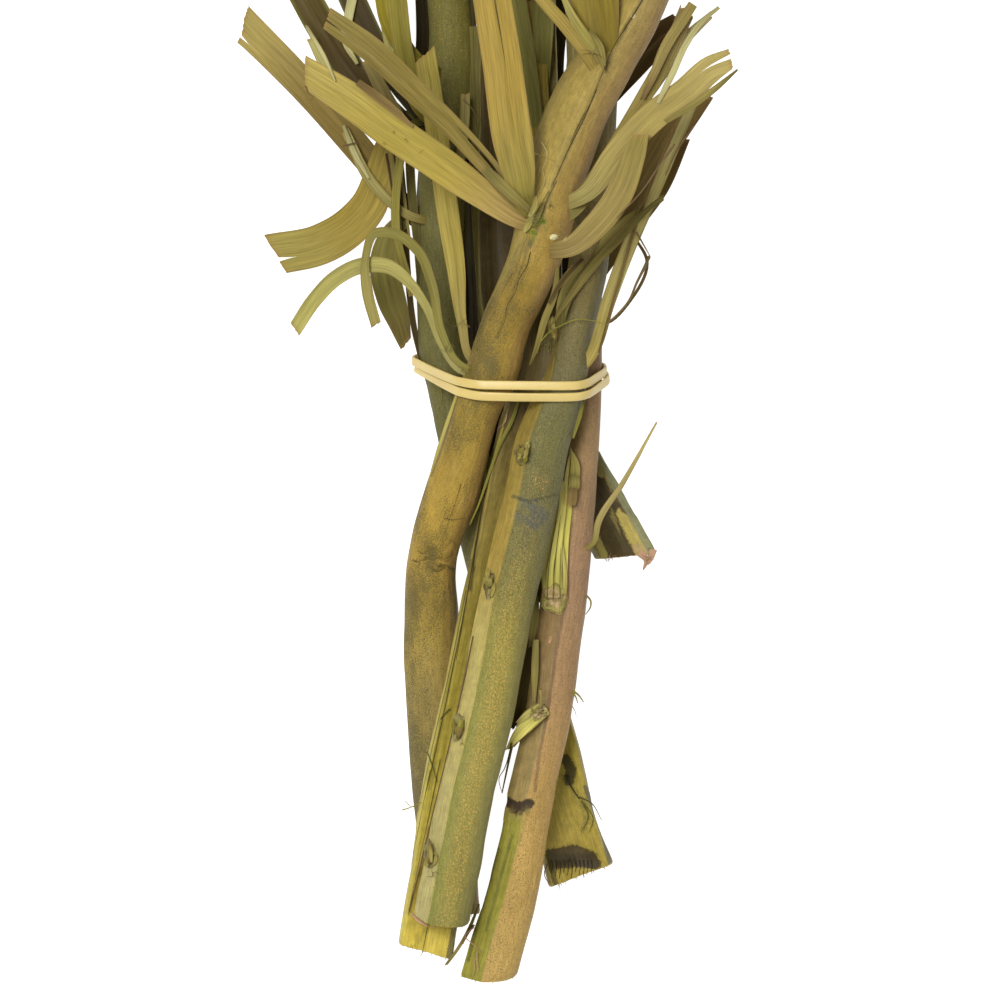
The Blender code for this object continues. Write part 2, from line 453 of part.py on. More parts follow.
def stem_points(name, stem):
    """Loft corners of a stem, stations by corners by xyz, in millimetres."""
    rings = []
    for k in range(len(stem["plan"])):
        uv = stem_section(STEM_SIDES, stem["roll"][k])
        xy = stem["plan"][k] + stem["side"][k] * (uv[:, :1] * stem["half"][k])
        if k == 0:
            ahead = np.array([-stem["side"][k][1], stem["side"][k][0]])
            xy = xy - ahead * (uv[:, :1] * CUT_SLANT[name] * stem["half"][k])
        z = np.maximum(stem["z"][k] + uv[:, 1] * stem["depth"][k], 0.0)
        rings.append(np.column_stack([xy, z]))
    return np.array(rings)


def leaflet_points(blade):
    """Loft corners of a leaflet: its underside from left to right, then its top back."""
    creased = blade["fold"] > 0.3
    u = np.array([-1.0, 0.0, 1.0]) if creased else np.array([-1.0, 1.0])
    crown = blade["fold"] * (1 - np.abs(u)) * 0.25
    rings = []
    for k in range(len(blade["plan"])):
        half = blade["half"][k]
        xy = blade["plan"][k] + blade["side"][k] * (u[:, None] * half)
        z = blade["z"][k] + half * (blade["lean"][k] * u + crown)
        top = np.column_stack([xy, z + BLADE_THICKNESS / 2])
        under = np.column_stack([xy, z - BLADE_THICKNESS / 2])
        rings.append(np.concatenate([under, top[::-1]]))
    return np.array(rings)


def loft_mesh(name, rings, closed=False):
    """One closed mesh through the rings, with triangles split alike on every side."""
    count, corners = rings.shape[:2]
    moved = rings.reshape(-1, 3) - (CENTRE_X, CENTRE_Y, 0.0)
    faces = []
    for k in range(count if closed else count - 1):
        here, there = k * corners, (k + 1) % count * corners
        for i in range(corners):
            j = (i + 1) % corners
            mirrored = closed is False and i >= corners // 2
            a, b, c, d = here + i, here + j, there + j, there + i
            faces += [(a, d, b), (b, d, c)] if mirrored else [(a, c, b), (a, d, c)]
    if not closed:
        last = (count - 1) * corners
        faces += [(0, i, i + 1) for i in range(1, corners - 1)]
        faces += [(last, last + i + 1, last + i) for i in range(1, corners - 1)]
    mesh = bpy.data.meshes.new(name)
    mesh.from_pydata((moved * MM).tolist(), [], faces)
    mesh.validate()
    return mesh


def material(name, colour, roughness):
    made = bpy.data.materials.new(name)
    made.use_nodes = True
    shader = made.node_tree.nodes["Principled BSDF"]
    shader.inputs["Base Color"].default_value = (*colour, 1.0)
    shader.inputs["Roughness"].default_value = roughness
    shader.inputs["Metallic"].default_value = 0.0
    return made


def place(name, mesh, collection):
    item = bpy.data.objects.new(name, mesh)
    collection.objects.link(item)
    return item


def fuse(item, pieces):
    """Join a collection's objects to an object in one Boolean union, then remove them."""
    union = item.modifiers.new("leaflets", "BOOLEAN")
    union.operation = "UNION"
    union.operand_type = "COLLECTION"
    union.collection = pieces
    union.solver = "MANIFOLD"
    fused = bpy.data.meshes.new_from_object(
        item.evaluated_get(bpy.context.evaluated_depsgraph_get()))
    item.modifiers.remove(union)
    item.data = fused
    for piece in list(pieces.objects):
        bpy.data.objects.remove(piece, do_unlink=True)
    bpy.data.collections.remove(pieces)


def band_points(bunch):
    """Corners of the band: one closed loop that goes round the bunch twice.

    The stems' outlines where the band passes give a convex outline. The loop follows
    it at half the band's thickness, its two turns side by side on top of the bunch
    and one over the other where they cross underneath.
    """
    near = []
    for name, (stem, blades) in bunch.items():
        lofts = [stem_points(name, stem)] + [leaflet_points(b) for b in blades]
        for rings in lofts:
            for t in np.linspace(0, 1, 40, endpoint=False):
                points = (rings[:-1] * (1 - t) + rings[1:] * t).reshape(-1, 3)
                plane = BAND_FRONT_Y + BAND_TILT * (37.0 - points[:, 2])
                near.append(points[abs(points[:, 1] - plane) < BAND_SPREAD + BAND_WIDTH])
    near = np.concatenate(near)
    middle = np.array([(near[:, 0].min() + near[:, 0].max()) / 2, near[:, 2].max() / 2])
    facing = np.linspace(0, 2 * math.pi, 361)
    normals = np.stack([np.cos(facing), np.sin(facing)], axis=1)
    support = (near[:, [0, 2]] @ normals.T).max(axis=0)
    turn = np.linspace(0, 4 * math.pi, BAND_STATIONS, endpoint=False) - math.pi / 2
    outer = []
    for angle in turn:
        ray = np.array([math.cos(angle), math.sin(angle)])
        facing_ray = normals @ ray
        reach = (support - normals @ middle)[facing_ray > 0.05] / facing_ray[facing_ray > 0.05]
        outer.append(reach.min())
    outer = np.array(outer)
    phase = (turn + math.pi / 2) / 2
    lift = BAND_CLEAR + BAND_THICKNESS * (0.5 + 0.6 * (1 - np.cos(phase)))
    reach = outer + lift
    x = middle[0] + reach * np.cos(turn)
    z = middle[1] + reach * np.sin(turn)
    y = BAND_FRONT_Y + BAND_TILT * (37.0 - z) + BAND_SPREAD * np.sin(phase)
    centre = np.stack([x, y, z], axis=1)
    outward = np.stack([np.cos(turn), np.zeros_like(turn), np.sin(turn)], axis=1)
    along = np.array([0.0, 1.0, 0.0])
    rings = []
    for side, depth in ((-1, -1), (1, -1), (1, 1), (-1, 1)):
        rings.append(centre + along * side * BAND_WIDTH / 2 + outward * depth * BAND_THICKNESS / 2)
    return np.stack(rings, axis=1)


def build():
    for item in list(bpy.data.objects):
        bpy.data.objects.remove(item, do_unlink=True)
    collection = bpy.data.collections.new("dried_coco_palm_stems")
    bpy.context.scene.collection.children.link(collection)
    colours = {"stem_a": (0.32, 0.23, 0.05), "stem_b": (0.20, 0.20, 0.06),
               "stem_c": (0.34, 0.28, 0.06), "stem_d": (0.27, 0.15, 0.08),
               "stem_e": (0.26, 0.21, 0.05), "stem_f": (0.15, 0.15, 0.05)}
    bunch = lay_bunch()
    for name, (stem, blades) in bunch.items():
        item = place(name, loft_mesh(name, stem_points(name, stem)), collection)
        pieces = bpy.data.collections.new(name + "_leaflets")
        bpy.context.scene.collection.children.link(pieces)
        for number, blade in enumerate(blades):
            part = f"{name}_leaflet_{number:02d}"
            place(part, loft_mesh(part, leaflet_points(blade)), pieces)
        fuse(item, pieces)
        item.data.materials.clear()
        item.data.materials.append(material(name + "_dried", colours[name], 0.6))
    band = place("rubber_band", loft_mesh("rubber_band", band_points(bunch), closed=True),
                 collection)
    band.data.materials.append(material("natural_latex", (0.69, 0.50, 0.24), 0.45))


build()
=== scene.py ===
# %% [markdown]
# # A bunch of dried coco palm stems
# This is a florist's bunch: six leaf stalks of a coco palm, cut square at their thick ends,
# with their leaflets trimmed to a hand's length, dried, and tied with a rubber band. It lies
# on a table and is seen from straight above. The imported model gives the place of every
# stalk. This script replaces each plain solid with finer surfaces that keep its form.

import json
import math

import bpy
import numpy as np
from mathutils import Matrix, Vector


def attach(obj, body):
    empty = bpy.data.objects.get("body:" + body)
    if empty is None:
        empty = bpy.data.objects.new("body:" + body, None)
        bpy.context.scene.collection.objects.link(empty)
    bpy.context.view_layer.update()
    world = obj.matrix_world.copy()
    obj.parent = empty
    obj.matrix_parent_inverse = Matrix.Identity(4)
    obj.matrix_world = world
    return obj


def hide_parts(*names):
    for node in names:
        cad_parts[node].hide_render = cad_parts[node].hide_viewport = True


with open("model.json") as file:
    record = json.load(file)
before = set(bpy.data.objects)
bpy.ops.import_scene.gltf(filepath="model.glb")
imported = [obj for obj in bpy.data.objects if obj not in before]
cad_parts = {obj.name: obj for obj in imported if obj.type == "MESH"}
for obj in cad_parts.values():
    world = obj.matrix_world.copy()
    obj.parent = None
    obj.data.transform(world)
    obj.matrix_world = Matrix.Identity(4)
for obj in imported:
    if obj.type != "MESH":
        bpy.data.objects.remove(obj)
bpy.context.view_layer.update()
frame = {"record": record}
MM = 0.001

# %% [markdown]
# ## Where the stalks and leaflets lie
# The layout is the same as in the model: plan positions chosen from the photograph,
# and heights found by laying the stems down one after another on a map of what already
# lies there. Repeating the rule gives each surface its place without measuring a mesh.
# All layout sizes are millimetres, seen from above, with y running up the bunch.

# %% Sizes that the whole bunch shares
GAP = 0.4                  # air kept between two stems that lie on each other
BLADE_THICKNESS = 0.8      # room that a leaflet takes in the pile
STEM_BEND_RADIUS = 400.0   # how tightly a lying stem can sag between its supports
BLADE_BEND_RADIUS = 60.0   # the same for a leaflet
FOLD_RISE = 0.25           # height of a folded leaflet's middle, as a share of half its width
STEM_STEP = 20.0           # distance between the stations where heights are found
FLOOR_PRESS = 0.25         # depth of the flat that a lying stem has on its underside
BAND_WIDTH = 2.7
BAND_THICKNESS = 1.0
BAND_FRONT_Y = 33.0        # where the band crosses the top of the bunch
BAND_TILT = 0.28           # how far the band's plane leans towards the leafy end
BAND_SPREAD = 1.75         # half the distance between its two turns on top
CENTRE = np.array([11.0, 172.6, 0.0])   # layout point that is the model's origin

# %% The six stems
# From the cut end to the tip: x, y, half width, half depth, roll in degrees.
# Roll 0 shows the rounded back of the stem, and 180 its hollow upper face.
STEMS = {"stem_e": [
    (38.1, -17.1, 8.6, 6.2, 168), (32.1, -6.0, 8.5, 6.2, 168),
    (26.1, 4.5, 8.4, 6.2, 168), (20.4, 15.0, 8.3, 6.1, 168),
    (15.0, 24.6, 8.2, 6.1, 168), (9.3, 34.5, 7.9, 6.0, 170),
    (4.2, 45.0, 7.2, 6.0, 172), (0.6, 58.0, 6.6, 5.9, 175),
    (-0.7, 75.0, 6.1, 5.8, 180), (-0.8, 105.0, 5.8, 5.6, 180),
    (-1.0, 150.0, 5.6, 5.2, 180), (-5.0, 200.0, 5.3, 4.8, 180),
    (-17.0, 260.0, 5.0, 4.4, 180), (-31.0, 330.0, 4.2, 3.8, 180),
    (-43.0, 390.0, 3.2, 3.0, 180), (-53.0, 456.0, 1.6, 1.7, 180)
], "stem_f": [
    (24.6, -114.0, 10.4, 6.2, 180), (19.8, -97.0, 9.6, 6.2, 180),
    (14.4, -72.0, 8.7, 6.2, 180), (10.5, -58.0, 8.2, 6.2, 178),
    (3.6, -39.0, 7.8, 6.2, 165), (-3.9, -15.0, 7.5, 6.2, 140),
    (-9.0, 6.0, 7.4, 6.1, 100), (-12.9, 25.5, 7.3, 6.1, 60),
    (-15.0, 36.0, 7.2, 6.1, 45), (-17.1, 45.0, 7.3, 6.1, 35),
    (-17.7, 62.0, 7.5, 6.0, 28), (-17.4, 96.0, 7.8, 5.9, 24),
    (-15.6, 120.0, 7.6, 5.8, 22), (-14.6, 135.0, 7.3, 5.7, 22),
    (-15.4, 152.0, 7.0, 5.6, 20), (-20.0, 190.0, 6.4, 5.2, 14),
    (-33.0, 250.0, 5.8, 4.8, 8), (-52.0, 315.0, 5.0, 4.2, 0),
    (-73.0, 385.0, 3.6, 3.2, 0), (-92.0, 452.0, 1.6, 1.7, 0)
], "stem_c": [
    (-22.5, -136.0, 8.6, 6.0, 176), (-18.6, -113.0, 8.6, 6.0, 176),
    (-14.1, -84.0, 8.6, 6.0, 176), (-9.0, -60.0, 8.6, 6.0, 176),
    (-3.6, -32.4, 8.5, 6.0, 176), (2.1, -4.5, 8.4, 6.0, 176),
    (4.8, 7.0, 8.6, 6.0, 176), (7.8, 18.9, 8.6, 6.0, 176),
    (10.6, 30.0, 8.3, 6.0, 176), (11.8, 36.0, 7.8, 6.0, 176),
    (12.7, 45.0, 7.0, 6.0, 176), (12.9, 55.0, 6.4, 5.9, 178),
    (12.7, 75.0, 5.8, 5.8, 180), (12.6, 105.0, 5.4, 5.6, 180),
    (12.0, 140.0, 5.2, 5.2, 180), (9.0, 200.0, 5.0, 4.8, 180),
    (3.0, 270.0, 4.5, 4.2, 180), (-6.0, 350.0, 3.7, 3.4, 180),
    (-13.0, 452.0, 1.6, 1.7, 180)
], "stem_d": [
    (-3.4, -143.7, 8.2, 6.2, -52), (0.3, -130.5, 8.1, 6.2, -52),
    (4.0, -116.4, 7.8, 6.2, -52), (6.8, -103.8, 7.3, 6.2, -52),
    (10.1, -85.2, 7.0, 6.2, -54), (13.6, -70.2, 6.8, 6.2, -56),
    (15.7, -57.0, 6.9, 6.2, -56), (18.5, -34.8, 7.0, 6.2, -56),
    (20.7, -14.0, 7.1, 6.1, -56), (23.4, 8.1, 6.0, 6.1, -56),
    (24.8, 19.5, 5.3, 6.0, -56), (25.9, 34.5, 4.9, 6.0, -56),
    (25.9, 52.0, 4.8, 5.9, -56), (25.7, 75.0, 4.7, 5.8, -50),
    (25.4, 105.0, 4.8, 5.6, -40), (24.6, 140.0, 4.9, 5.2, -30),
    (23.5, 200.0, 4.8, 4.8, -15), (22.0, 280.0, 4.3, 4.2, 0),
    (24.0, 360.0, 3.4, 3.3, 0), (27.0, 454.0, 1.6, 1.7, 0)
], "stem_b": [
    (-17.6, -126.3, 8.4, 6.2, -22), (-13.8, -106.5, 8.4, 6.2, -22),
    (-10.2, -87.6, 8.3, 6.2, -22), (-3.6, -60.0, 8.4, 6.2, -22),
    (1.6, -32.1, 8.3, 6.2, -22), (6.0, -12.9, 8.2, 6.2, -22),
    (9.5, 1.2, 8.2, 6.2, -22), (13.1, 18.6, 8.0, 6.2, -20),
    (17.1, 28.8, 7.4, 6.1, -14), (19.4, 35.0, 6.7, 6.1, -8),
    (21.0, 42.0, 6.1, 6.0, 0), (22.8, 52.5, 5.9, 6.0, 0),
    (26.4, 73.0, 6.1, 6.0, 0), (27.6, 96.0, 6.3, 5.9, 0),
    (28.5, 120.0, 6.4, 5.8, 0), (31.0, 150.0, 6.2, 5.6, 0),
    (38.0, 200.0, 5.6, 5.2, 0), (46.0, 260.0, 5.0, 4.7, 0),
    (54.0, 330.0, 4.2, 4.0, 0), (60.0, 392.0, 3.1, 3.0, 0),
    (65.0, 456.0, 1.6, 1.7, 0)
], "stem_a": [
    (-14.4, -125.7, 8.3, 6.2, 8), (-16.5, -101.4, 8.5, 6.2, 8),
    (-18.6, -84.0, 8.5, 6.2, 8), (-20.4, -60.0, 8.4, 6.2, 8),
    (-20.9, -33.0, 8.2, 6.2, 8), (-20.7, -18.0, 7.5, 6.2, 8),
    (-14.4, 3.0, 8.2, 6.2, 6), (-10.8, 14.4, 7.6, 6.2, 6),
    (-6.2, 29.4, 7.2, 6.1, 4), (-3.0, 37.0, 7.7, 6.1, 4),
    (1.1, 51.3, 7.5, 6.1, 2), (5.6, 61.2, 7.8, 6.1, 0),
    (12.8, 81.0, 8.7, 6.4, -4), (15.0, 94.0, 9.4, 6.5, -6),
    (21.3, 111.6, 9.5, 6.5, -8), (25.0, 120.0, 9.3, 6.5, -8),
    (33.0, 133.2, 8.9, 6.4, -8), (42.0, 150.0, 8.3, 6.2, -8),
    (59.0, 190.0, 7.2, 5.6, -4), (77.0, 245.0, 6.2, 5.0, 0),
    (91.0, 305.0, 5.2, 4.4, 0), (100.0, 365.0, 4.2, 3.8, 0),
    (106.0, 458.0, 1.6, 1.7, 0)
]}

# Heights of the stems' middles as y and z, up to where they lie free above the tie
HEIGHTS = {
    "stem_e": [(-20.0, 5.95), (2.0, 5.95), (41.0, 9.35), (58.0, 9.2)],
    "stem_f": [(-120.0, 5.95), (-60.0, 5.95), (0.0, 7.3), (41.0, 9.35), (58.0, 9.2)],
    "stem_c": [(-140.0, 20.4), (-60.0, 20.6), (0.0, 20.9), (35.0, 21.6), (45.0, 21.2)],
    "stem_d": [(-145.0, 20.6), (-60.0, 20.2), (20.0, 20.4), (35.0, 20.6), (45.0, 19.6)],
    "stem_b": [(-130.0, 33.2), (-60.0, 33.2), (0.0, 33.6), (35.0, 34.2), (45.0, 33.6)],
    "stem_a": [(-130.0, 5.95), (-45.0, 5.95), (-33.0, 9.0), (-18.0, 17.0), (-4.0, 21.4),
               (14.0, 26.0), (29.0, 30.9), (37.0, 33.2), (45.0, 35.2), (60.0, 38.4)],
}
# How far each cut end slants across the stem, as a share of its width
CUT_SLANT = {"stem_e": 0.42, "stem_f": -0.08, "stem_c": 0.12, "stem_d": -0.28,
             "stem_b": -0.06, "stem_a": 0.1}

# %% Leaflets that can be told apart in the photograph
# Each has a name, points (x, y, rise), half widths at them, a bank in degrees and a fold.
# The first point lies in the stem, and rise is the height above the stem's middle.
LEAFLETS = {"stem_e": [], "stem_f": [
    ("inner_short", [(-15, 94, 3), (-12, 104, 6.6), (-10.8, 114, 7.5), (-10.5, 123, 8)],
     [1.4, 1.5, 1.5, 1.4], 0, 0),
    ("left_straight", [(-17, 78, 0), (-28, 88, 1), (-42, 105.5, 3), (-58, 124, 4),
                       (-78, 144.5, 3)], [1.8, 3.0, 4.3, 4.6, 5.0], 12, 0.5),
    ("left_curved", [(-17, 118, 0), (-26, 116, 2), (-33, 108, 3), (-36.5, 98, 3),
                     (-40, 89, 2), (-46, 82.5, 0), (-55, 77.5, -2), (-68.5, 75, -4)],
     [1.8, 3.0, 4.2, 4.8, 5.6, 6.0, 6.2, 6.2], 0, 0),
    ("left_hanging", [(-17, 88, 0), (-27, 86.5, 2), (-33.5, 80, 2), (-35, 71, 1),
                      (-33, 61, 0), (-30.2, 53, -2), (-28.6, 47.5, -2)],
     [1.6, 2.0, 3.2, 4.6, 4.4, 3.2, 2.0], 0, 0.4),
    ("outer_dark_1", [(-15.6, 104, 0), (-28, 113, 1), (-42, 126, 2), (-53, 142, 2),
                      (-62, 158, 2)], [1.8, 3.2, 4.4, 4.8, 4.6], -10, 0.6),
    ("outer_dark_2", [(-15.6, 106, 0), (-25, 118, 2), (-36, 134, 3), (-44, 150, 3),
                      (-52, 170, 3)], [1.6, 2.6, 3.6, 4.0, 4.0], 14, 0.6),
    ("outer_green", [(-15, 108, 0), (-22, 118, 2), (-30, 131, 4), (-34, 150, 5),
                     (-37, 176, 4)], [1.6, 2.4, 2.8, 3.0, 2.8], 20, 0.5),
    ("upper_green_1", [(-15.0, 128, 0), (-25, 132, 1), (-32.5, 143, 3), (-35, 158, 3),
                       (-38, 185, 2)], [1.6, 2.6, 3.2, 3.4, 3.2], -14, 0.5),
    ("upper_green_2", [(-15.0, 110, 0), (-24, 118, 4), (-28.5, 132, 6), (-31, 150, 6),
                       (-33, 180, 6)], [1.6, 2.2, 2.9, 3.1, 3.0], 10, 0.6),
    ("thin_left_1", [(-17, 104, 0), (-28, 110, 1), (-41, 116, 1), (-52, 129, 0),
                     (-57.5, 140, 0)], [1.2, 1.2, 1.3, 1.3, 1.2], 0, 0),
    ("thin_left_2", [(-17, 84, 0), (-27, 86, 1), (-38, 95, 2), (-47, 112, 2)],
     [1.2, 1.3, 1.6, 1.3], 0, 0),
    ("thin_down_1", [(-17, 116, 0), (-27, 113, 2), (-30.5, 100, 2), (-31.5, 82, 1),
                     (-26.5, 62, 0)], [1.2, 1.2, 1.3, 1.3, 1.2], 0, 0),
    ("brown_blade", [(-16, 92, 0), (-26, 108, 3), (-33, 119, 4), (-40.5, 133, 4)],
     [1.6, 1.8, 2.2, 1.6], 0, 0.4),
], "stem_c": [
    ("on_back", [(13, 92, 3), (12, 104, 6.6), (10.5, 125, 7.4), (10, 150, 7.8)],
     [2.0, 3.4, 4.0, 3.4], 0, 0),
], "stem_d": [
    ("right_far", [(25.5, 62, 0), (31, 72, -2), (38, 84, -4), (46, 97, -5), (52, 110, -6)],
     [2.0, 3.4, 5.0, 6.0, 5.4], 14, 0.5),
    ("right_dark", [(25.5, 74, 0), (36, 86, 1), (44, 99, 1), (52.5, 113, 0),
                    (60, 122.5, 0)], [1.8, 3.6, 5.6, 5.4, 4.2], 24, 0.4),
    ("torn_base", [(17.6, -35.0, 3), (16.5, -30.5, 6.4), (16.9, -24, 6.8),
                   (18.5, -13, 6.4), (20.4, 0, 6.2), (21.4, 13, 6.2)],
     [2.8, 3.9, 3.5, 2.2, 1.5, 0.9], 0, 0),
    ("torn_flap", [(14.2, -64, 3), (12.6, -63.5, 5), (8.6, -67, 5), (3.4, -74, 4)],
     [1.6, 2.1, 1.7, 1.0], 0, 0),
    ("loose_sliver", [(22.5, -16, 1), (28.0, -13.0, 3), (29.4, -7, 4), (36.9, 5.1, 5),
                      (47.1, 23.4, 8)], [0.7, 0.8, 1.0, 0.8, 0.3], 0, 0),
    ("twig", [(26, 52, 0), (33.5, 54, 0), (38.4, 59, 0), (44.2, 72.5, 1),
              (40.2, 79.5, 2)], [0.5, 0.5, 0.5, 0.5, 0.4], 0, 0),
    ("gap_slip", [(24.8, 98, 0), (37, 112, 0), (49, 128, 2), (56, 139, 3),
                  (63.5, 146, 3)], [1.2, 1.5, 1.4, 1.6, 1.0], 10, 0),
    ("behind_right", [(24, 110, 0), (38, 128, 1), (48, 139, 1), (54.5, 144, 1)],
     [1.6, 3.8, 4.4, 3.4], 18, 0.5),
], "stem_b": [
    ("crossing", [(18.5, 49, 0), (18.2, 55, 6.4), (21.5, 64.5, 7), (28.5, 73, 7),
                  (38, 82.5, 6), (48.6, 90.2, 5)], [1.2, 1.6, 2.5, 2.7, 2.2, 0.8], 12, 0.3),
    ("pale_edge", [(24, 38, 0), (27.6, 44, 4), (32.2, 58.8, 4.5), (38.2, 75, 4.5),
                   (48.0, 96.3, 5), (57.2, 117.5, 6)],
     [1.0, 1.8, 2.1, 2.2, 1.8, 1.4], -26, 0.2),
], "stem_a": [
    ("low_up", [(-2.4, 38.4, 0), (-8.5, 42, 2), (-11.4, 53, 1), (-13.2, 69.6, 0),
                (-15.9, 87.9, 0), (-18.9, 110, 0), (-22.5, 133.5, 0)],
     [1.2, 1.2, 1.5, 2.8, 3.3, 3.3, 3.2], 0, 0.4),
    ("arching", [(-3, 36.5, 0), (-13, 39.5, 1), (-17.4, 46.5, 2), (-22.2, 57.9, 2),
                 (-26.7, 64.6, 2), (-33.3, 69.8, 2), (-41.1, 70.2, 1),
                 (-48.9, 66.6, 0), (-55.6, 60, -3), (-61.6, 51.2, -6)],
     [1.0, 1.0, 1.2, 1.3, 1.6, 2.2, 2.4, 2.4, 2.3, 2.2], 0, 0.3),
    ("bent", [(-3, 37, 0), (-12.5, 41, 3), (-17.4, 50, 4), (-20.4, 64.5, 4),
              (-24.6, 74.5, 4), (-31, 79.4, 4), (-37.6, 79.6, 3), (-40.1, 73, 2),
              (-39.6, 62, -1), (-37.0, 52.2, -4)],
     [1.0, 1.0, 1.2, 1.4, 1.5, 1.6, 1.4, 1.2, 1.7, 1.6], 0, 0.2),
    ("broad_left", [(12.6, 80.4, 0), (5.6, 83, 4), (-6.6, 91.2, 6), (-18, 99.4, 6.5),
                    (-31.5, 108.6, 6), (-45.6, 119, 5), (-57.6, 126.3, 3)],
     [2.0, 2.8, 4.4, 5.2, 5.3, 5.1, 4.4], 8, 0.35),
    ("narrow_left", [(12.6, 84, 0), (6.5, 87, 5), (-4.2, 99, 9), (-14.1, 109.8, 11),
                     (-24.9, 120, 12), (-38.1, 132.6, 12), (-51, 141.9, 10)],
     [1.4, 1.8, 2.8, 3.2, 3.6, 3.8, 3.1], -12, 0.35),
    ("split_up", [(13, 82, 0), (7.8, 87, 5), (5.4, 97.5, 7), (3.4, 108, 7.5),
                  (0.6, 129, 8), (-2.7, 150, 8), (-7, 186, 7)],
     [2.0, 3.0, 5.0, 6.0, 5.8, 5.5, 4.6], 0, 0.7),
    ("upright_broad", [(29.5, 123, 0), (30.5, 130, 5), (29.2, 138, 6), (27.6, 150, 6.5),
                       (26, 166, 7), (23.5, 190, 7)], [1.8, 3.6, 5.8, 7.2, 7.2, 6.0], 0, 0.9),
    ("curling", [(30, 124, 2), (25.8, 130.8, 6.5), (19, 139.8, 8), (12.2, 147.5, 10),
                 (6, 157, 12), (-2, 170, 14)], [1.4, 1.8, 1.9, 1.9, 1.9, 1.7], 12, 0.2),
    ("right_long", [(13.5, 81, 0), (21.6, 86, 2), (27.5, 94, 3), (34.4, 105, 3.5),
                    (42.4, 118.8, 4), (49.2, 131, 4), (55.2, 144.4, 4)],
     [1.8, 2.4, 2.5, 2.4, 2.3, 2.3, 2.5], -20, 0.4),
    ("right_upper", [(15, 86, 0), (25.5, 90.5, 5), (33.6, 100.8, 8), (44.7, 112.6, 10),
                     (54.9, 120.3, 11), (61.5, 126.3, 11), (68, 129.8, 11)],
     [1.6, 2.6, 3.8, 4.3, 4.2, 4.0, 2.8], 10, 0.5),
    ("right_lower", [(11, 74, 0), (19.8, 74.2, 2), (28, 80.5, 3), (34.8, 89.5, 3),
                     (39.2, 101, 3), (41.4, 107.5, 2)],
     [1.8, 2.8, 3.8, 4.0, 3.4, 2.2], 22, 0.5),
]}

# %% The rule for all other leaflets
# They sit in clusters at even steps, from this y up to the tip of each stem.
FIRST_CLUSTER_Y = {"stem_e": 128.0, "stem_f": 168.0, "stem_c": 100.0, "stem_d": 150.0,
                   "stem_b": 140.0, "stem_a": 178.0}
CLUSTER_STEP = 52.0
# For each stem: leaflets at odd and even nodes, and on its left and right flank the
# angle between leaflet and stem. Between the stems the leaflets are pressed upright.
NODE_LEAFLETS = {"stem_e": (1, 1), "stem_f": (2, 1), "stem_c": (1, 1), "stem_d": (1, 1),
                 "stem_b": (1, 2), "stem_a": (2, 1)}
SPREAD = {"stem_e": ((5, 9), (4, 8)), "stem_f": ((20, 36), (5, 9)),
          "stem_c": ((6, 12), (2, 5)), "stem_d": ((6, 12), (12, 22)),
          "stem_b": ((6, 14), (16, 30)), "stem_a": ((18, 36), (18, 34))}
ROOT_SHARE = {"stem_e": -0.75, "stem_f": 0.0, "stem_c": 0.35, "stem_d": 0.0,
              "stem_b": 0.0, "stem_a": 0.0}
RISE = {"stem_e": (-4, -3), "stem_f": (-4, 1), "stem_c": (0, 3), "stem_d": (-3, 1),
        "stem_b": (0, 6), "stem_a": (2, 16)}
BANK = {"stem_e": 0, "stem_f": 8, "stem_c": 3, "stem_d": 5, "stem_b": 14, "stem_a": 24}
LEAFLET_LENGTH, SHORTER = 112, 62      # length at the first cluster, and what the tip takes off
LEAFLET_HALF_WIDTH = (3.9, 5.2)
BLADE_STRETCHES = 5                    # at least so many stretches make up a leaflet's path
SEED = 11

# %% Laying the bunch down
# The map of what already lies on the table: the top of everything, cell by cell
CELL = 1.0
MAP_X0, MAP_Y0 = -240.0, -170.0
MAP_SIZE = (480, 760)


def curve(knots, values, at):
    """Smooth curve through the knots that never swings past them (limited slopes)."""
    knots, values, at = (np.asarray(a, float) for a in (knots, values, at))
    step = np.diff(knots)
    slope = np.diff(values) / step
    mean = (slope[:-1] + slope[1:]) / 2
    limit = 2 * np.minimum(abs(slope[:-1]), abs(slope[1:]))
    inner = np.where(slope[:-1] * slope[1:] > 0, np.sign(mean) * np.minimum(abs(mean), limit), 0)
    tangent = np.concatenate([slope[:1], inner, slope[-1:]])
    k = np.clip(np.searchsorted(knots, at) - 1, 0, len(step) - 1)
    t = (at - knots[k]) / step[k]
    rise = values[k + 1] - values[k]
    a = tangent[k] * step[k] - rise
    b = -tangent[k + 1] * step[k] + rise
    return values[k] + t * rise + t * (1 - t) * (a * (1 - t) + b * t)


def travelled(points):
    """How far along each point of a path lies, seen from above."""
    steps = np.linalg.norm(np.diff(points[:, :2], axis=0), axis=1)
    return np.concatenate([[0], np.cumsum(steps)])


def smooth_path(points, at):
    """Catmull-Rom curve through plan points, read at a fraction of its length."""
    points = np.asarray(points, float)
    knots = travelled(points)
    slope = np.diff(points, axis=0) / np.diff(knots)[:, None]
    weight = np.diff(knots)
    inner = (slope[:-1] * weight[1:, None] + slope[1:] * weight[:-1, None])
    inner /= (weight[:-1] + weight[1:])[:, None]
    tangent = np.concatenate([slope[:1], inner, slope[-1:]])
    s = np.asarray(at, float) * knots[-1]
    k = np.clip(np.searchsorted(knots, s) - 1, 0, len(weight) - 1)
    h = weight[k][:, None]
    t = ((s - knots[k]) / weight[k])[:, None]
    p0, p1, m0, m1 = points[k], points[k + 1], tangent[k] * h, tangent[k + 1] * h
    return ((2 * t ** 3 - 3 * t ** 2 + 1) * p0 + (t ** 3 - 2 * t ** 2 + t) * m0
            + (3 * t ** 2 - 2 * t ** 3) * p1 + (t ** 3 - t ** 2) * m1)


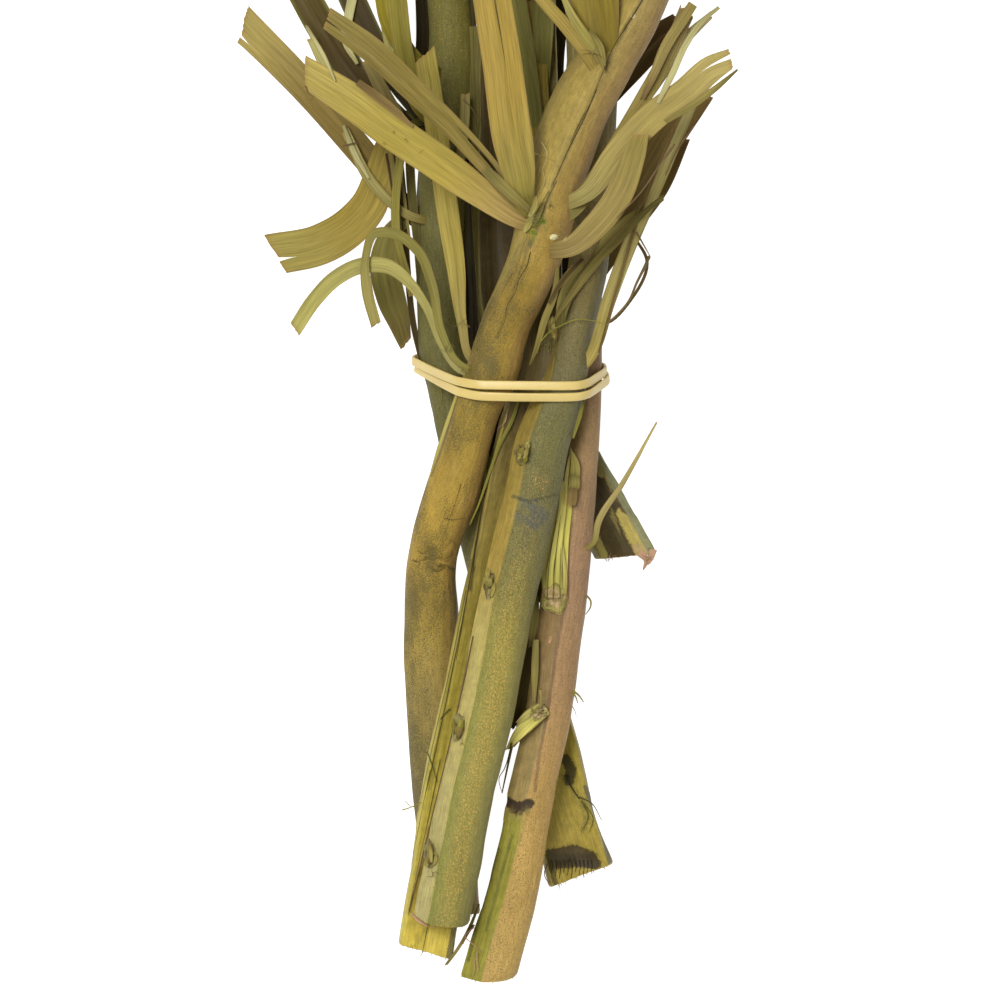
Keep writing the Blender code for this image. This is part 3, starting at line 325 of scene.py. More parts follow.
def across(plan):
    """Unit vectors in the table plane, square to the path and pointing to its right."""
    ahead = np.gradient(plan, axis=0)
    ahead /= np.linalg.norm(ahead, axis=1)[:, None]
    return np.stack([ahead[:, 1], -ahead[:, 0]], axis=1)


def lifted_by_neighbours(z, s, radius):
    """Heights of a springy strip over its supports: each one lifts a parabola."""
    drop = (s[:, None] - s[None, :]) ** 2 / (2 * radius)
    return np.max(z[None, :] - drop, axis=1)


class Pile:
    """The height of what lies on the table, on a grid of square cells."""

    def __init__(self):
        self.top = np.full(MAP_SIZE, -GAP)

    def cells(self, x, y):
        i = np.clip(np.rint((x - MAP_X0) / CELL).astype(int), 1, MAP_SIZE[0] - 2)
        j = np.clip(np.rint((y - MAP_Y0) / CELL).astype(int), 1, MAP_SIZE[1] - 2)
        return i, j

    def spread(self, plan, side, half, u):
        """Sample points between stations, dense along the path and across it."""
        t = np.linspace(0, 1, 17)[None, :, None]
        lerp = lambda a: a[:-1, None, None] * (1 - t) + a[1:, None, None] * t
        x = lerp(plan[:, 0]) + lerp(side[:, 0] * half) * u
        y = lerp(plan[:, 1]) + lerp(side[:, 1] * half) * u
        return x, y, lerp

    def needed(self, plan, side, half, u, under):
        """Lowest middle height at each station that clears the pile."""
        x, y, lerp = self.spread(plan, side, half, u)
        i, j = self.cells(x, y)
        stretch = (self.top[i, j] + GAP - under(lerp)).max(axis=(1, 2))
        return np.maximum(np.concatenate([stretch[:1], stretch]),
                          np.concatenate([stretch, stretch[-1:]]))

    def add(self, plan, side, half, u, z, over):
        """Lay a strip on the pile: its top counts in each cell and the cells around."""
        x, y, lerp = self.spread(plan, side, half, u)
        top = lerp(z) + over(lerp)
        i, j = self.cells(x, y)
        for di in (-1, 0, 1):
            for dj in (-1, 0, 1):
                np.maximum.at(self.top, (i + di, j + dj), top)


def lay_stem(name, pile):
    """Stations of one stem: plan, side, half width, half depth, roll and height."""
    knots = np.array(STEMS[name])
    length = np.linalg.norm(np.diff(knots[:, :2], axis=0), axis=1).sum()
    at = np.linspace(0, 1, int(round(length / STEM_STEP)) + 1)
    row = smooth_path(knots, at)
    plan, half, depth, roll = row[:, :2], row[:, 2], row[:, 3], row[:, 4]
    side = across(plan)
    u = np.linspace(-1, 1, 15)
    bulge = (1 - np.abs(u) ** 3) ** (1 / 3)
    need = pile.needed(plan, side, half, u, lambda lerp: -lerp(depth) * bulge)
    s = at * length
    by_hand = np.interp(plan[:, 1], *np.array(HEIGHTS[name]).T)
    hand = plan[:, 1] <= HEIGHTS[name][-1][0]
    floor = depth - FLOOR_PRESS
    free = lifted_by_neighbours(np.where(hand, by_hand, np.maximum(need, floor)), s,
                                STEM_BEND_RADIUS)
    last = by_hand[hand][-1]
    from_hand = last - (s - s[hand][-1]) ** 2 / (2 * STEM_BEND_RADIUS)
    z = np.where(hand, by_hand, np.maximum(free, from_hand))
    return {"plan": plan, "side": side, "half": half, "depth": depth, "roll": roll, "z": z}


def add_stem(stem, pile):
    """Count a stem in the pile, once its own leaflets have been laid beside it."""
    u = np.linspace(-1, 1, 15)
    bulge = (1 - np.abs(u) ** 3) ** (1 / 3)
    depth = stem["depth"]
    pile.add(stem["plan"], stem["side"], stem["half"], u, stem["z"],
             lambda lerp: lerp(depth) * bulge)


def lay_leaflet(points, widths, bank, fold, stem, pile):
    """Stations of one leaflet, laid on the pile from its root in the stem to its tip."""
    points = np.asarray(points, float)
    count = max(BLADE_STRETCHES, len(points)) + 1
    at = np.linspace(0, 1, count)
    row = smooth_path(points, at)
    chord = travelled(points)
    half = curve(chord / chord[-1], widths, at)
    plan = row[:, :2]
    side = across(plan)
    root = stem["z"][np.argmin(np.linalg.norm(stem["plan"] - plan[0], axis=1))]
    lean = math.tan(math.radians(bank)) * np.clip(at * 3, 0, 1)
    u = np.linspace(-1, 1, 9)
    crown = fold * (1 - np.abs(u))
    tilt = lambda lerp: lerp(half * lean) * u + lerp(half) * FOLD_RISE * crown
    need = pile.needed(plan, side, half, u, lambda lerp: tilt(lerp) - BLADE_THICKNESS / 2)
    z = np.maximum(root + row[:, 2], need)
    z[0] = max(root + row[0, 2], BLADE_THICKNESS / 2)
    s = at * chord[-1]
    z[1:] = lifted_by_neighbours(z[1:], s[1:], BLADE_BEND_RADIUS)
    pile.add(plan, side, half, u, z, lambda lerp: tilt(lerp) + BLADE_THICKNESS / 2)
    return {"plan": plan, "points": points, "widths": widths, "lean": lean, "fold": fold, "z": z}


def clusters(name, stem, draw):
    """Leaflets that follow the rule: on both flanks in turn, trimmed shorter at the tip."""
    found = []
    start, end = FIRST_CLUSTER_Y[name], stem["plan"][-1, 1]
    y, count = start, 0
    while y < end - 8:
        share = (y - start) / (end - start)
        for hand in (-1, 1):
            for turn in range(NODE_LEAFLETS[name][count % 2]):
                k = int(np.argmin(abs(stem["plan"][:, 1] - (y + 18 * (hand > 0) + 5 * turn))))
                k = min(max(k, 1), len(stem["plan"]) - 2)
                root = stem["plan"][k]
                ahead = stem["plan"][k + 1] - stem["plan"][k - 1]
                heading = math.atan2(ahead[1], ahead[0])
                low, high = SPREAD[name][hand > 0]
                spread = math.radians(draw.uniform(low, high) + 14 * turn + 8 * share)
                reach = (LEAFLET_LENGTH - SHORTER * share) * draw.uniform(0.85, 1.08)
                curl = math.radians(draw.uniform(-0.5, 0.35) * high)
                wide = draw.uniform(*LEAFLET_HALF_WIDTH) * (1 - 0.35 * share)
                rise = draw.uniform(*RISE[name])
                low_root = ROOT_SHARE[name] * stem["depth"][k]
                path = []
                for step in np.linspace(0, 1, 4):
                    turned = heading - hand * (spread + curl * step)
                    path.append((root[0] + reach * step * math.cos(turned),
                                 root[1] + reach * step * math.sin(turned),
                                 low_root + rise * math.sin(step * math.pi * 0.6)))
                widths = [1.8, wide * 0.9, wide, wide * 0.8]
                found.append((path, widths, draw.uniform(-BANK[name], BANK[name]), 0.0))
            count += 1
        y += CLUSTER_STEP * (1 - 0.2 * share)
    return found


def lay_bunch():
    """Every stem with its leaflets, in the order in which they lie on each other."""
    pile = Pile()
    draw = np.random.default_rng(SEED)
    bunch = {}
    for name in STEMS:
        stem = lay_stem(name, pile)
        rows = [(p, w, bank, fold) for _, p, w, bank, fold in LEAFLETS[name]]
        rows += clusters(name, stem, draw)
        blades = [lay_leaflet(p, w, bank, fold, stem, pile) for p, w, bank, fold in rows]
        add_stem(stem, pile)
        bunch[name] = (stem, blades)
    return bunch


# %% [markdown]
# ## Surfaces made with numpy
# A leaf stalk and a dried leaflet are both long things whose section changes slowly. They
# could be sculpted, or lofted with curve objects, but then every streak and crease would be
# drawn by hand. Here each one is a grid: rings of corners along a path, worked out as whole
# arrays. The grid knows how far along and how far round each corner is, so marks, veins and
# colours can follow the fibres of the real plant.

# %% Noise, easing and colours as plain array functions
LATTICE_SIZE = 32
LATTICE_SEED = 3
LATTICE = np.random.default_rng(LATTICE_SEED).uniform(-1, 1, [LATTICE_SIZE] * 3)


def cloud(points, grain, octaves=2, seed=0):
    """Soft noise from -1 to 1: random lattice values a grain apart, blended with smooth steps.
    Each further octave is half as large and half as strong."""
    total, strength = 0.0, 0.0
    for octave in range(octaves):
        spot = np.asarray(points) / grain * 2 ** octave + 7.3 * seed + 3.1 * octave
        low = np.floor(spot).astype(int)
        t = spot - low
        t = t * t * (3 - 2 * t)
        value = 0.0
        for corner in np.ndindex(2, 2, 2):
            weight = np.prod(np.where(corner, t, 1 - t), axis=-1)
            i, j, k = np.moveaxis((low + corner) % LATTICE_SIZE, -1, 0)
            value = value + weight * LATTICE[i, j, k]
        total = total + value / 2 ** octave
        strength += 1 / 2 ** octave
    return total / strength * 1.4


def ease(value, start, stop):
    """0 before start, 1 past stop, and a smooth S between them."""
    t = np.clip((np.asarray(value, float) - start) / (stop - start), 0, 1)
    return t * t * (3 - 2 * t)


def linear(code):
    """A sRGB hex colour as the linear red, green and blue that Blender works with."""
    value = np.array([int(code[i:i + 2], 16) for i in (1, 3, 5)]) / 255
    return np.where(value <= 0.04045, value / 12.92, ((value + 0.055) / 1.055) ** 2.4)


def blended(colour, code, share):
    """Colours moved by a share, corner by corner, towards one hex colour."""
    share = np.asarray(share)[..., None]
    return colour * (1 - share) + linear(code) * share


# %% Grids of corners made into one mesh
def tube(points, uv, values):
    """A closed skin over rings of corners (rings, corners, xyz), round every ring and across
    both ends. The uv table has one column more than the rings, so it does not wrap."""
    rings, corners = points.shape[:2]
    i, j = np.meshgrid(np.arange(rings - 1), np.arange(corners), indexing="ij")
    i, j = i.ravel(), j.ravel()
    step = np.array([(0, 0), (1, 0), (1, 1), (0, 1)])
    rows, columns = i[:, None] + step[:, 0], j[:, None] + step[:, 1]
    across_end = np.arange(corners // 2 - 1)
    cap = np.stack([across_end, across_end + 1, corners - 2 - across_end, corners - 1 - across_end], axis=1)
    quads = np.concatenate([rows * corners + columns % corners, cap,
                            cap[:, ::-1] + (rings - 1) * corners])
    corner_uv = np.concatenate([uv[rows, columns], uv[0][cap], uv[-1][cap[:, ::-1]]])
    flat = {key: np.broadcast_to(v, points.shape[:2] + np.shape(v)[2:]).reshape(
        rings * corners, -1) for key, v in values.items()}
    return {"points": points.reshape(-1, 3), "quads": quads, "uv": corner_uv, "values": flat}


def placed(name, data):
    """A new object in the scene, at the origin."""
    made = bpy.data.objects.new(name, data)
    bpy.context.scene.collection.objects.link(made)
    return made


SLOTS = {part["node"]: part["material_slot"] for part in frame["record"]["subparts"]}
SHARP = math.radians(50)     # edges bent by more than this stay crisp


def piece(name, blocks, finish, replaced):
    """One object from several blocks, in metres, with their colours and uv in millimetres."""
    start = np.cumsum([0] + [len(b["points"]) for b in blocks[:-1]])
    points = (np.concatenate([b["points"] for b in blocks]) - CENTRE) * MM
    quads = np.concatenate([b["quads"] + s for b, s in zip(blocks, start)])
    mesh = bpy.data.meshes.new(name)
    mesh.vertices.add(len(points))
    mesh.vertices.foreach_set("co", points.ravel())
    mesh.loops.add(quads.size)
    mesh.loops.foreach_set("vertex_index", quads.ravel())
    mesh.polygons.add(len(quads))
    mesh.polygons.foreach_set("loop_start", np.arange(0, quads.size, 4))
    mesh.update(calc_edges=True)
    mesh.uv_layers.new(name="Fibres")
    mesh.uv_layers[0].uv.foreach_set("vector", np.concatenate([b["uv"].reshape(-1) for b in blocks]))
    for key in blocks[0]["values"]:
        value = np.concatenate([b["values"][key] for b in blocks])
        if value.shape[1] == 3:
            layer = mesh.attributes.new(key, "FLOAT_COLOR", "POINT")
            layer.data.foreach_set("color", np.column_stack([value, np.ones(len(value))]).ravel())
        else:
            layer = mesh.attributes.new(key, "FLOAT", "POINT")
            layer.data.foreach_set("value", value.ravel())
    mesh.set_sharp_from_angle(angle=SHARP)
    mesh.validate()
    mesh.materials.append(finish)
    made, slot = placed(name, mesh), SLOTS[replaced]
    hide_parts(replaced)
    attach(made, "root")
    print(f"{name}: {len(blocks)} surfaces, {2 * len(quads)} triangles")


def normals(points):
    """Unit normals of a grid that closes round each ring, from the steps along and round it."""
    along = np.gradient(points, axis=0)
    around = np.roll(points, -1, axis=1) - np.roll(points, 1, axis=1)
    normal = np.cross(along, around)
    return normal / np.maximum(np.linalg.norm(normal, axis=-1, keepdims=True), 1e-9)


# %% Places taken from the photograph
# The photograph is 1000 pixels wide and covers 300 mm of the bunch, seen from above.
PHOTO_SCALE = 0.3
PHOTO_MIDDLE = 500


def seen(pixels):
    """Layout x and y in millimetres of points read in the photograph, y down there."""
    pixels = np.asarray(pixels, float)
    return (pixels - PHOTO_MIDDLE) * (PHOTO_SCALE, -PHOTO_SCALE)


def near_route(points, pixels, reach):
    """1 on a line through points of the photograph, falling softly to 0 at its reach in mm."""
    route = seen(pixels)
    nearest = np.full(points.shape[:-1], np.inf)
    for a, b in zip(route[:-1], route[1:]):
        t = np.clip(((points[..., :2] - a) @ (b - a)) / ((b - a) @ (b - a)), 0, 1)
        gap = np.linalg.norm(points[..., :2] - a - t[..., None] * (b - a), axis=-1)
        nearest = np.minimum(nearest, gap)
    return 1 - ease(nearest, 0.2 * reach, reach)


# %% [markdown]
# ## Finishes
# A dried palm stalk has a waxy skin with a grey scurf that rubs off in specks, and fine
# fibres just under it. A dried leaflet is a papery blade with parallel veins. Both could be
# painted with image textures. Here the mesh carries the broad colours, because they follow
# the faces and marks of each stalk, and the shader adds what is smaller than a corner:
# specks, fibres and pores, at their size in millimetres.

# %% A helper that adds one node
def node(tree, kind, feeds=None, out=0, **settings):
    """Adds a shader node, sets it up, feeds its sockets with values or other sockets, and
    returns one of its outputs."""
    made = tree.nodes.new("ShaderNode" + kind)
    for key, value in settings.items():
        setattr(made, key, value)
    for socket, value in (feeds or {}).items():
        if isinstance(value, bpy.types.NodeSocket):
            tree.links.new(value, made.inputs[socket])
        else:
            made.inputs[socket].default_value = value
    return made.outputs[out]


def shade(code):
    return (*linear(code), 1.0)


def new_finish(name, roughness, ior, gloss=0.5):
    """An empty material and its shader, with the values that are the same all over it."""
    finish = bpy.data.materials.new(name)
    finish.use_nodes = True
    shader = finish.node_tree.nodes["Principled BSDF"]
    shader.inputs["Roughness"].default_value = roughness
    shader.inputs["IOR"].default_value = ior
    shader.inputs["Specular IOR Level"].default_value = gloss
    return finish, finish.node_tree, shader


# %% Stalk skin: waxy epidermis with scurf
SPAN = {"From Min": 0.3, "From Max": 0.7}     # a noise keeps nearly all its values in here
STREAK = 7.0          # how much longer than wide a fibre streak is
THREAD_SHARE = 0.03   # the finest fibres are drawn out by this share along the stalk
MOTTLE = 2.6          # size of the faint blots, mm
SPECK = 0.34          # grain of the scurf, mm
FRAY = 0.8            # grain of the ragged edges of marks, mm
SCURF_COVER = 0.72    # how much of the skin's colour a speck of scurf hides
FLECK_COVER = 0.75


def stalk_skin(name):
    """Dried palm rachis, cut green and air dried. The colour attribute gives its skin, scurf
    and fleck say how much grey-green scurf and how many yellow flecks a place has. Marked is
    near 1 on cracks and stains of the colour in mark, and noise makes their edges ragged."""
    finish, tree, shader = new_finish(name, 0.58, 1.45, 0.22)
    place = node(tree, "TexCoord", out="Object")
    fibres = node(tree, "UVMap", uv_map="Fibres")
    skin, mark = (node(tree, "Attribute", out="Color", attribute_name=key)
                  for key in ("skin", "mark"))
    scurf, fleck, marked = (node(tree, "Attribute", out="Fac", attribute_name=key)
                            for key in ("scurf", "fleck", "marked"))
    streaked = node(tree, "Mapping", {"Vector": fibres, "Scale": (1.0, 1 / STREAK, 1.0)})
    streaks = node(tree, "TexNoise", {"Vector": streaked, "Scale": 1.4, "Detail": 3.0,
                                      "Roughness": 0.6})
    tone = node(tree, "MapRange", {"Value": streaks, **SPAN, "To Min": 0.86, "To Max": 1.13})
    mottle = node(tree, "TexNoise", {"Vector": place, "Scale": 1 / (MOTTLE * MM), "Detail": 5.0,
                                     "Roughness": 0.68})
    blots = node(tree, "MapRange", {"Value": mottle, **SPAN, "To Min": 0.80, "To Max": 1.18})
    tone = node(tree, "Math", {0: tone, 1: blots}, operation="MULTIPLY")
    drawn_out = node(tree, "Mapping", {"Vector": fibres, "Scale": (1.0, THREAD_SHARE, 1.0)})
    hair_thin = node(tree, "TexNoise", {"Vector": drawn_out, "Scale": 2.6, "Detail": 2.0,
                                        "Roughness": 0.7})
    lines = node(tree, "MapRange", {"Value": hair_thin, **SPAN, "To Min": 0.78, "To Max": 1.18})
    bare = node(tree, "MapRange", {"Value": scurf, "From Min": 0.0, "From Max": 0.3,
                                   "To Min": 1.0, "To Max": 0.25})
    lines = node(tree, "Mix", {0: bare, 2: 1.0, 3: lines})
    tone = node(tree, "Math", {0: tone, 1: lines}, operation="MULTIPLY")
    ragged = node(tree, "TexNoise", {"Vector": place, "Scale": 1 / (FRAY * MM), "Detail": 5.0,
                                     "Roughness": 0.75})
    over = node(tree, "Math", {0: ragged, 1: 1.3, 2: marked}, operation="MULTIPLY_ADD")
    edge = node(tree, "MapRange", {"Value": over, "From Min": 1.0, "From Max": 1.3})
    tinted = node(tree, "Mix", {0: edge, 6: skin, 7: mark}, 2, data_type="RGBA")
    colour = node(tree, "VectorMath", {0: tinted, "Scale": tone}, operation="SCALE")
    specks = node(tree, "TexNoise", {"Vector": place, "Scale": 1 / (SPECK * MM), "Detail": 3.0,
                                     "Roughness": 0.8, "Distortion": 0.5})
    level = node(tree, "Math", {0: mottle, 1: 0.30, 2: specks}, operation="MULTIPLY_ADD")
    limit = node(tree, "Math", {0: scurf, 1: -0.26, 2: 0.81}, operation="MULTIPLY_ADD")
    over = node(tree, "Math", {0: level, 1: limit}, operation="SUBTRACT")
    cover = node(tree, "MapRange", {"Value": over, "From Min": -0.02, "From Max": 0.06})
    cover = node(tree, "Math", {0: cover, 1: SCURF_COVER}, operation="MULTIPLY")
    dusted = node(tree, "Mix", {0: cover, 6: colour, 7: shade("#3E3E28")}, 2, data_type="RGBA")
    crossed = node(tree, "Mapping", {"Vector": fibres, "Scale": (1.0, 0.7, 1.0),
                                     "Location": (31.0, 7.0, 0.0)})
    grains = node(tree, "TexNoise", {"Vector": crossed, "Scale": 2.0, "Detail": 4.0,
                                     "Roughness": 0.8})
    start = node(tree, "Math", {0: fleck, 1: -0.26, 2: 0.76}, operation="MULTIPLY_ADD")
    over = node(tree, "Math", {0: grains, 1: start}, operation="SUBTRACT")
    shown = node(tree, "MapRange", {"Value": over, "From Min": 0.0, "From Max": 0.08})
    shown = node(tree, "Math", {0: shown, 1: FLECK_COVER}, operation="MULTIPLY")
    flecked = node(tree, "Mix", {0: shown, 6: dusted, 7: shade("#C89E50")}, 2, data_type="RGBA")
    tree.links.new(flecked, shader.inputs["Base Color"])
    height = node(tree, "Math", {0: streaks, 1: 0.7, 2: cover}, operation="MULTIPLY_ADD")
    bump = node(tree, "Bump", {"Height": height, "Distance": 0.12 * MM, "Strength": 0.6})
    tree.links.new(bump, shader.inputs["Normal"])
    return finish


# %% Leaflet blade: papery, with parallel veins
VEIN_STEP = 0.36      # distance between veins, mm
VEIN_SHARE = 0.025    # veins are drawn out by this share along the blade
DUST = 0.6            # grain of the dust on it, mm


def blade_skin(name):
    """Dried palm leaflet: satin, almost papery, with veins a little paler than the blade."""
    finish, tree, shader = new_finish(name, 0.6, 1.42, 0.15)
    place = node(tree, "TexCoord", out="Object")
    fibres = node(tree, "UVMap", uv_map="Fibres")
    skin = node(tree, "Attribute", out="Color", attribute_name="skin")
    scurf = node(tree, "Attribute", out="Fac", attribute_name="scurf")
    along = node(tree, "Mapping", {"Vector": fibres, "Scale": (1.0, VEIN_SHARE, 1.0)})
    drift = node(tree, "TexNoise", {"Vector": along, "Scale": 0.6, "Detail": 3.0,
                                    "Roughness": 0.6})
    veins = node(tree, "TexNoise", {"Vector": along, "Scale": 1 / VEIN_STEP, "Detail": 2.0,
                                    "Roughness": 0.7})
    tone = node(tree, "MapRange", {"Value": drift, **SPAN, "To Min": 0.86, "To Max": 1.12})
    lines = node(tree, "MapRange", {"Value": veins, **SPAN, "To Min": 0.74, "To Max": 1.20})
    tone = node(tree, "Math", {0: tone, 1: lines}, operation="MULTIPLY")
    colour = node(tree, "VectorMath", {0: skin, "Scale": tone}, operation="SCALE")
    specks = node(tree, "TexNoise", {"Vector": place, "Scale": 1 / (DUST * MM), "Detail": 3.0,
                                     "Roughness": 0.7})
    limit = node(tree, "Math", {0: scurf, 1: -0.3, 2: 0.78}, operation="MULTIPLY_ADD")
    over = node(tree, "Math", {0: specks, 1: limit}, operation="SUBTRACT")
    cover = node(tree, "MapRange", {"Value": over, "From Min": 0.0, "From Max": 0.06,
                                    "To Max": 0.6})
    dusted = node(tree, "Mix", {0: cover, 6: colour, 7: shade("#5C5836")}, 2, data_type="RGBA")
    tree.links.new(dusted, shader.inputs["Base Color"])
    height = node(tree, "Math", {0: drift, 1: 0.8, 2: veins}, operation="MULTIPLY_ADD")
    bump = node(tree, "Bump", {"Height": height, "Distance": 0.10 * MM, "Strength": 0.5})
    tree.links.new(bump, shader.inputs["Normal"])
    return finish


# %% Natural latex: the rubber band
LATEX_CLOUD = 9.0     # size of its cloudy tints, mm
LATEX_GRAIN = 0.5     # and of its fine roughness, mm


def latex():
    """Undyed latex, cut from a tube: smooth, slightly oily, with a faint cloudy tint."""
    finish, tree, shader = new_finish("natural_latex", 0.42, 1.52)
    place = node(tree, "TexCoord", out="Object")
    clouds = node(tree, "TexNoise", {"Vector": place, "Scale": 1 / (LATEX_CLOUD * MM),
                                     "Detail": 3.0})
    colour = node(tree, "Mix", {0: clouds, 6: shade("#BCA45E"), 7: shade("#C9B46E")}, 2,
                  data_type="RGBA")
    tree.links.new(colour, shader.inputs["Base Color"])
    shader.inputs["Subsurface Weight"].default_value = 0.15
    shader.inputs["Subsurface Radius"].default_value = (1.5 * MM, 1.0 * MM, 0.6 * MM)
    shader.inputs["Subsurface Scale"].default_value = 1.0
    fine = node(tree, "TexNoise", {"Vector": place, "Scale": 1 / (LATEX_GRAIN * MM)})
    bump = node(tree, "Bump", {"Height": fine, "Distance": 0.03 * MM, "Strength": 0.4})
    tree.links.new(bump, shader.inputs["Normal"])
    return finish


STALK_FINISH = {name: stalk_skin("dried_rachis_" + name[-1]) for name in STEMS}
BLADE_FINISH = blade_skin("dried_leaflet")
LATEX_FINISH = latex()
print("finishes:", [m.name for m in bpy.data.materials])

# %% [markdown]
# ## The stalks
# A palm leaf stalk is round on its back, has two flat flanks that the leaflets grew from,
# and a shallow channel on its upper face. A plain sweep would give one round rod. Here the
# section turns as the stalk twists, a flank can be pressed flat between two angles, and the
# marks read from the photograph are carved into the rings and tinted with the same numbers.

# %% The section of a stalk and where its flanks are
SIDES = 84             # corners round a stalk
FINE_STEP = 0.85       # distance between rings where the photograph shows the stalk, mm
COARSE_STEP = 2.8      # and beyond the photograph's upper edge
SHOWN_TO_Y = 155.0
RIDGE, LUMP = 0.13, 0.32    # height of the fibre ridges and of the soft lumps, mm
GROOVE = 0.28          # depth of the groove where a flank begins, mm
GIRTH = 48.0           # width of the uv map round a stalk, mm
HOLLOW_START, HOLLOW_END = 205, 335    # the angles between which the hollow face lies

# Flat flanks: y along the bunch, then the angles of the section between which it is flat.
FLANKS = {
    "stem_a": [(-130, 178, 204), (28, 178, 204), (50, 170, 204), (61, 150, 206), (68, 128, 206),
               (81, 116, 206), (94, 92, 208), (104, 84, 208), (120, 84, 208), (133, 98, 210),
               (150, 98, 210), (460, 110, 206)],
    "stem_b": [(-130, 146, 204), (70, 142, 204), (460, 150, 204)],
    "stem_c": [(-140, 180, 204), (460, 180, 204)],
    "stem_d": [(-150, 158, 206), (-100, 156, 206), (-60, 150, 206), (-30, 142, 206),
               (20, 142, 206), (60, 155, 206), (460, 176, 206)],
    "stem_e": [(-20, 180, 204), (460, 180, 204)],
    "stem_f": [(-120, 180, 204), (100, 150, 206), (460, 150, 206)],
}


def section(angle, roll):
    """Outline of a stalk at each angle, for each roll: round back, flanks and hollow face,
    turned by the roll and scaled to -1..1 both ways, as the model's coarse section is."""
    u, v = np.cos(angle), np.sin(angle)
    under = np.minimum(1.0, 2.4 * np.abs(v)) * (0.62 - 0.30 * np.cos(u * math.pi / 2) ** 2)
    v = np.where(v > 0, v, -under)
    turn = np.radians(roll)[:, None]
    x = u * np.cos(turn) - v * np.sin(turn)
    y = u * np.sin(turn) + v * np.cos(turn)
    fit = lambda a: 2 * (a - a.min(1, keepdims=True)) / np.ptp(a, axis=1)[:, None] - 1
    return fit(x), fit(y)


def pressed_flat(x, y, degrees, start, stop, press):
    """The corners between two angles moved towards the straight line between its ends."""
    t = np.clip((degrees - start[:, None]) / (stop - start)[:, None], 0, 1)
    first = np.argmin(abs(degrees - start[:, None]), axis=1)[:, None]
    last = np.argmin(abs(degrees - stop[:, None]), axis=1)[:, None]
    flat = lambda a: (np.take_along_axis(a, first, 1) * (1 - t)
                      + np.take_along_axis(a, last, 1) * t)
    moved = lambda a: np.where((t > 0) & (t < 1), a + (flat(a) - a) * press, a)
    return moved(x), moved(y)


PRESS = {"stem_a": 0.5}     # how flat its flanks are pressed, where that isn't the usual share
USUAL_PRESS = 0.85
CUT_LEAN = {"stem_b": 0.27, "stem_d": 0.36}   # the saw leaned, so the back reaches further
CUT_FADE = 6                # distance over which the slant and lean of a cut die out, mm
CUT_LEVEL = 0.35            # the height share at which a leaning cut keeps its place
CUT_RIM = 0.965             # the saw's edge is worn round by this share


def stations(length, y_at):
    """Fractions of a path a fine step apart in the photograph's view and coarser past it."""
    s = np.linspace(0, 1, int(length / FINE_STEP))
    far = y_at(s) > SHOWN_TO_Y
    keep = ~far | (np.arange(len(s)) % round(COARSE_STEP / FINE_STEP) == 0)
    keep[-1] = True
    return s[keep]


def stalk_grid(name, stem):
    """Rings of a stalk: corners, their places across and up the section from -1 to 1, their
    angles, the angle where the flank starts, and how far along and at what y each ring is."""
    knots = np.array(STEMS[name])
    length = np.linalg.norm(np.diff(knots[:, :2], axis=0), axis=1).sum()
    at = stations(length, lambda s: smooth_path(knots, s)[:, 1])
    row = smooth_path(knots, at)
    z = curve(np.linspace(0, 1, len(stem["z"])), stem["z"], at)
    degrees = (np.arange(SIDES) + 0.5) * 360 / SIDES
    x, up = section(np.radians(degrees), row[:, 4])
    flank = np.array(FLANKS[name], float)
    start, stop = (np.interp(row[:, 1], flank[:, 0], flank[:, k]) for k in (1, 2))
    press = PRESS.get(name, USUAL_PRESS)
    x, up = pressed_flat(x, up, degrees[None, :], start, stop, press)
    side = across(row[:, :2])
    plan = row[:, None, :2] + side[:, None, :] * (x * row[:, 2:3])[..., None]
    ahead = np.stack([-side[:, 1], side[:, 0]], axis=1)
    slant = CUT_SLANT[name] * row[0, 2] * np.exp(-at * length / CUT_FADE)
    plan = plan - ahead[:, None, :] * (x * slant[:, None])[..., None]
    lean = CUT_LEAN.get(name, 0.0) * row[0, 3] * np.exp(-at * length / CUT_FADE)
    plan = plan - ahead[:, None, :] * ((up - CUT_LEVEL) * lean[:, None])[..., None]
    height = z[:, None] + up * row[:, 3:4]
    points = np.concatenate([plan, height[..., None]], axis=-1)
    return {"points": points, "x": x, "up": up, "degrees": np.broadcast_to(degrees, x.shape),
            "start": start, "along": at * length, "y": row[:, 1]}


# %% Ridges, marks and the cut end
def carve(name, grid):
    """Moves the corners along their normals: long fibre ridges, soft lumps and the marks."""
    points, normal = grid["points"], normals(grid["points"])
    ring = np.radians(grid["degrees"])
    along = np.broadcast_to(grid["along"][:, None], ring.shape)
    fibre = np.stack([8 * np.cos(ring), 8 * np.sin(ring), along / 22], axis=-1)
    lump = np.stack([8 * np.cos(ring), 8 * np.sin(ring), along * 0.8], axis=-1)
    seed = ord(name[-1])
    out = RIDGE * cloud(fibre, 1.3, 3, seed) + LUMP * cloud(lump, 9.0, 2, seed)
    for route, reach, depth, _, _ in MARKS.get(name, []):
        out = out + depth * near_route(points, route, reach) * (grid["up"] > -0.2)
    edge = abs(grid["degrees"] - grid["start"][:, None])
    out = out - GROOVE * (1 - ease(edge, 0, 7)) * (grid["start"] < 176)[:, None]
    return points + normal * out[..., None]


def with_ends(points, extra):
    """Adds rings inside each end, so that the cut face has its own corners, a little rough."""
    rings = [points]
    for end, order in ((0, -1), (-1, 1)):
        ring = points[end]
        middle = ring.mean(axis=0)
        for share in extra:
            inner = middle + (ring - middle) * share
            rough = cloud(inner, 0.8, 2, 5)[:, None] * 0.35 * (1 - share) ** 0.3
            ahead = points[end] - points[1 if end == 0 else -2]
            ahead = ahead.mean(axis=0) / np.linalg.norm(ahead.mean(axis=0))
            inner = inner + ahead * rough
            rings = [inner[None]] + rings if order < 0 else rings + [inner[None]]
    return np.concatenate(rings)


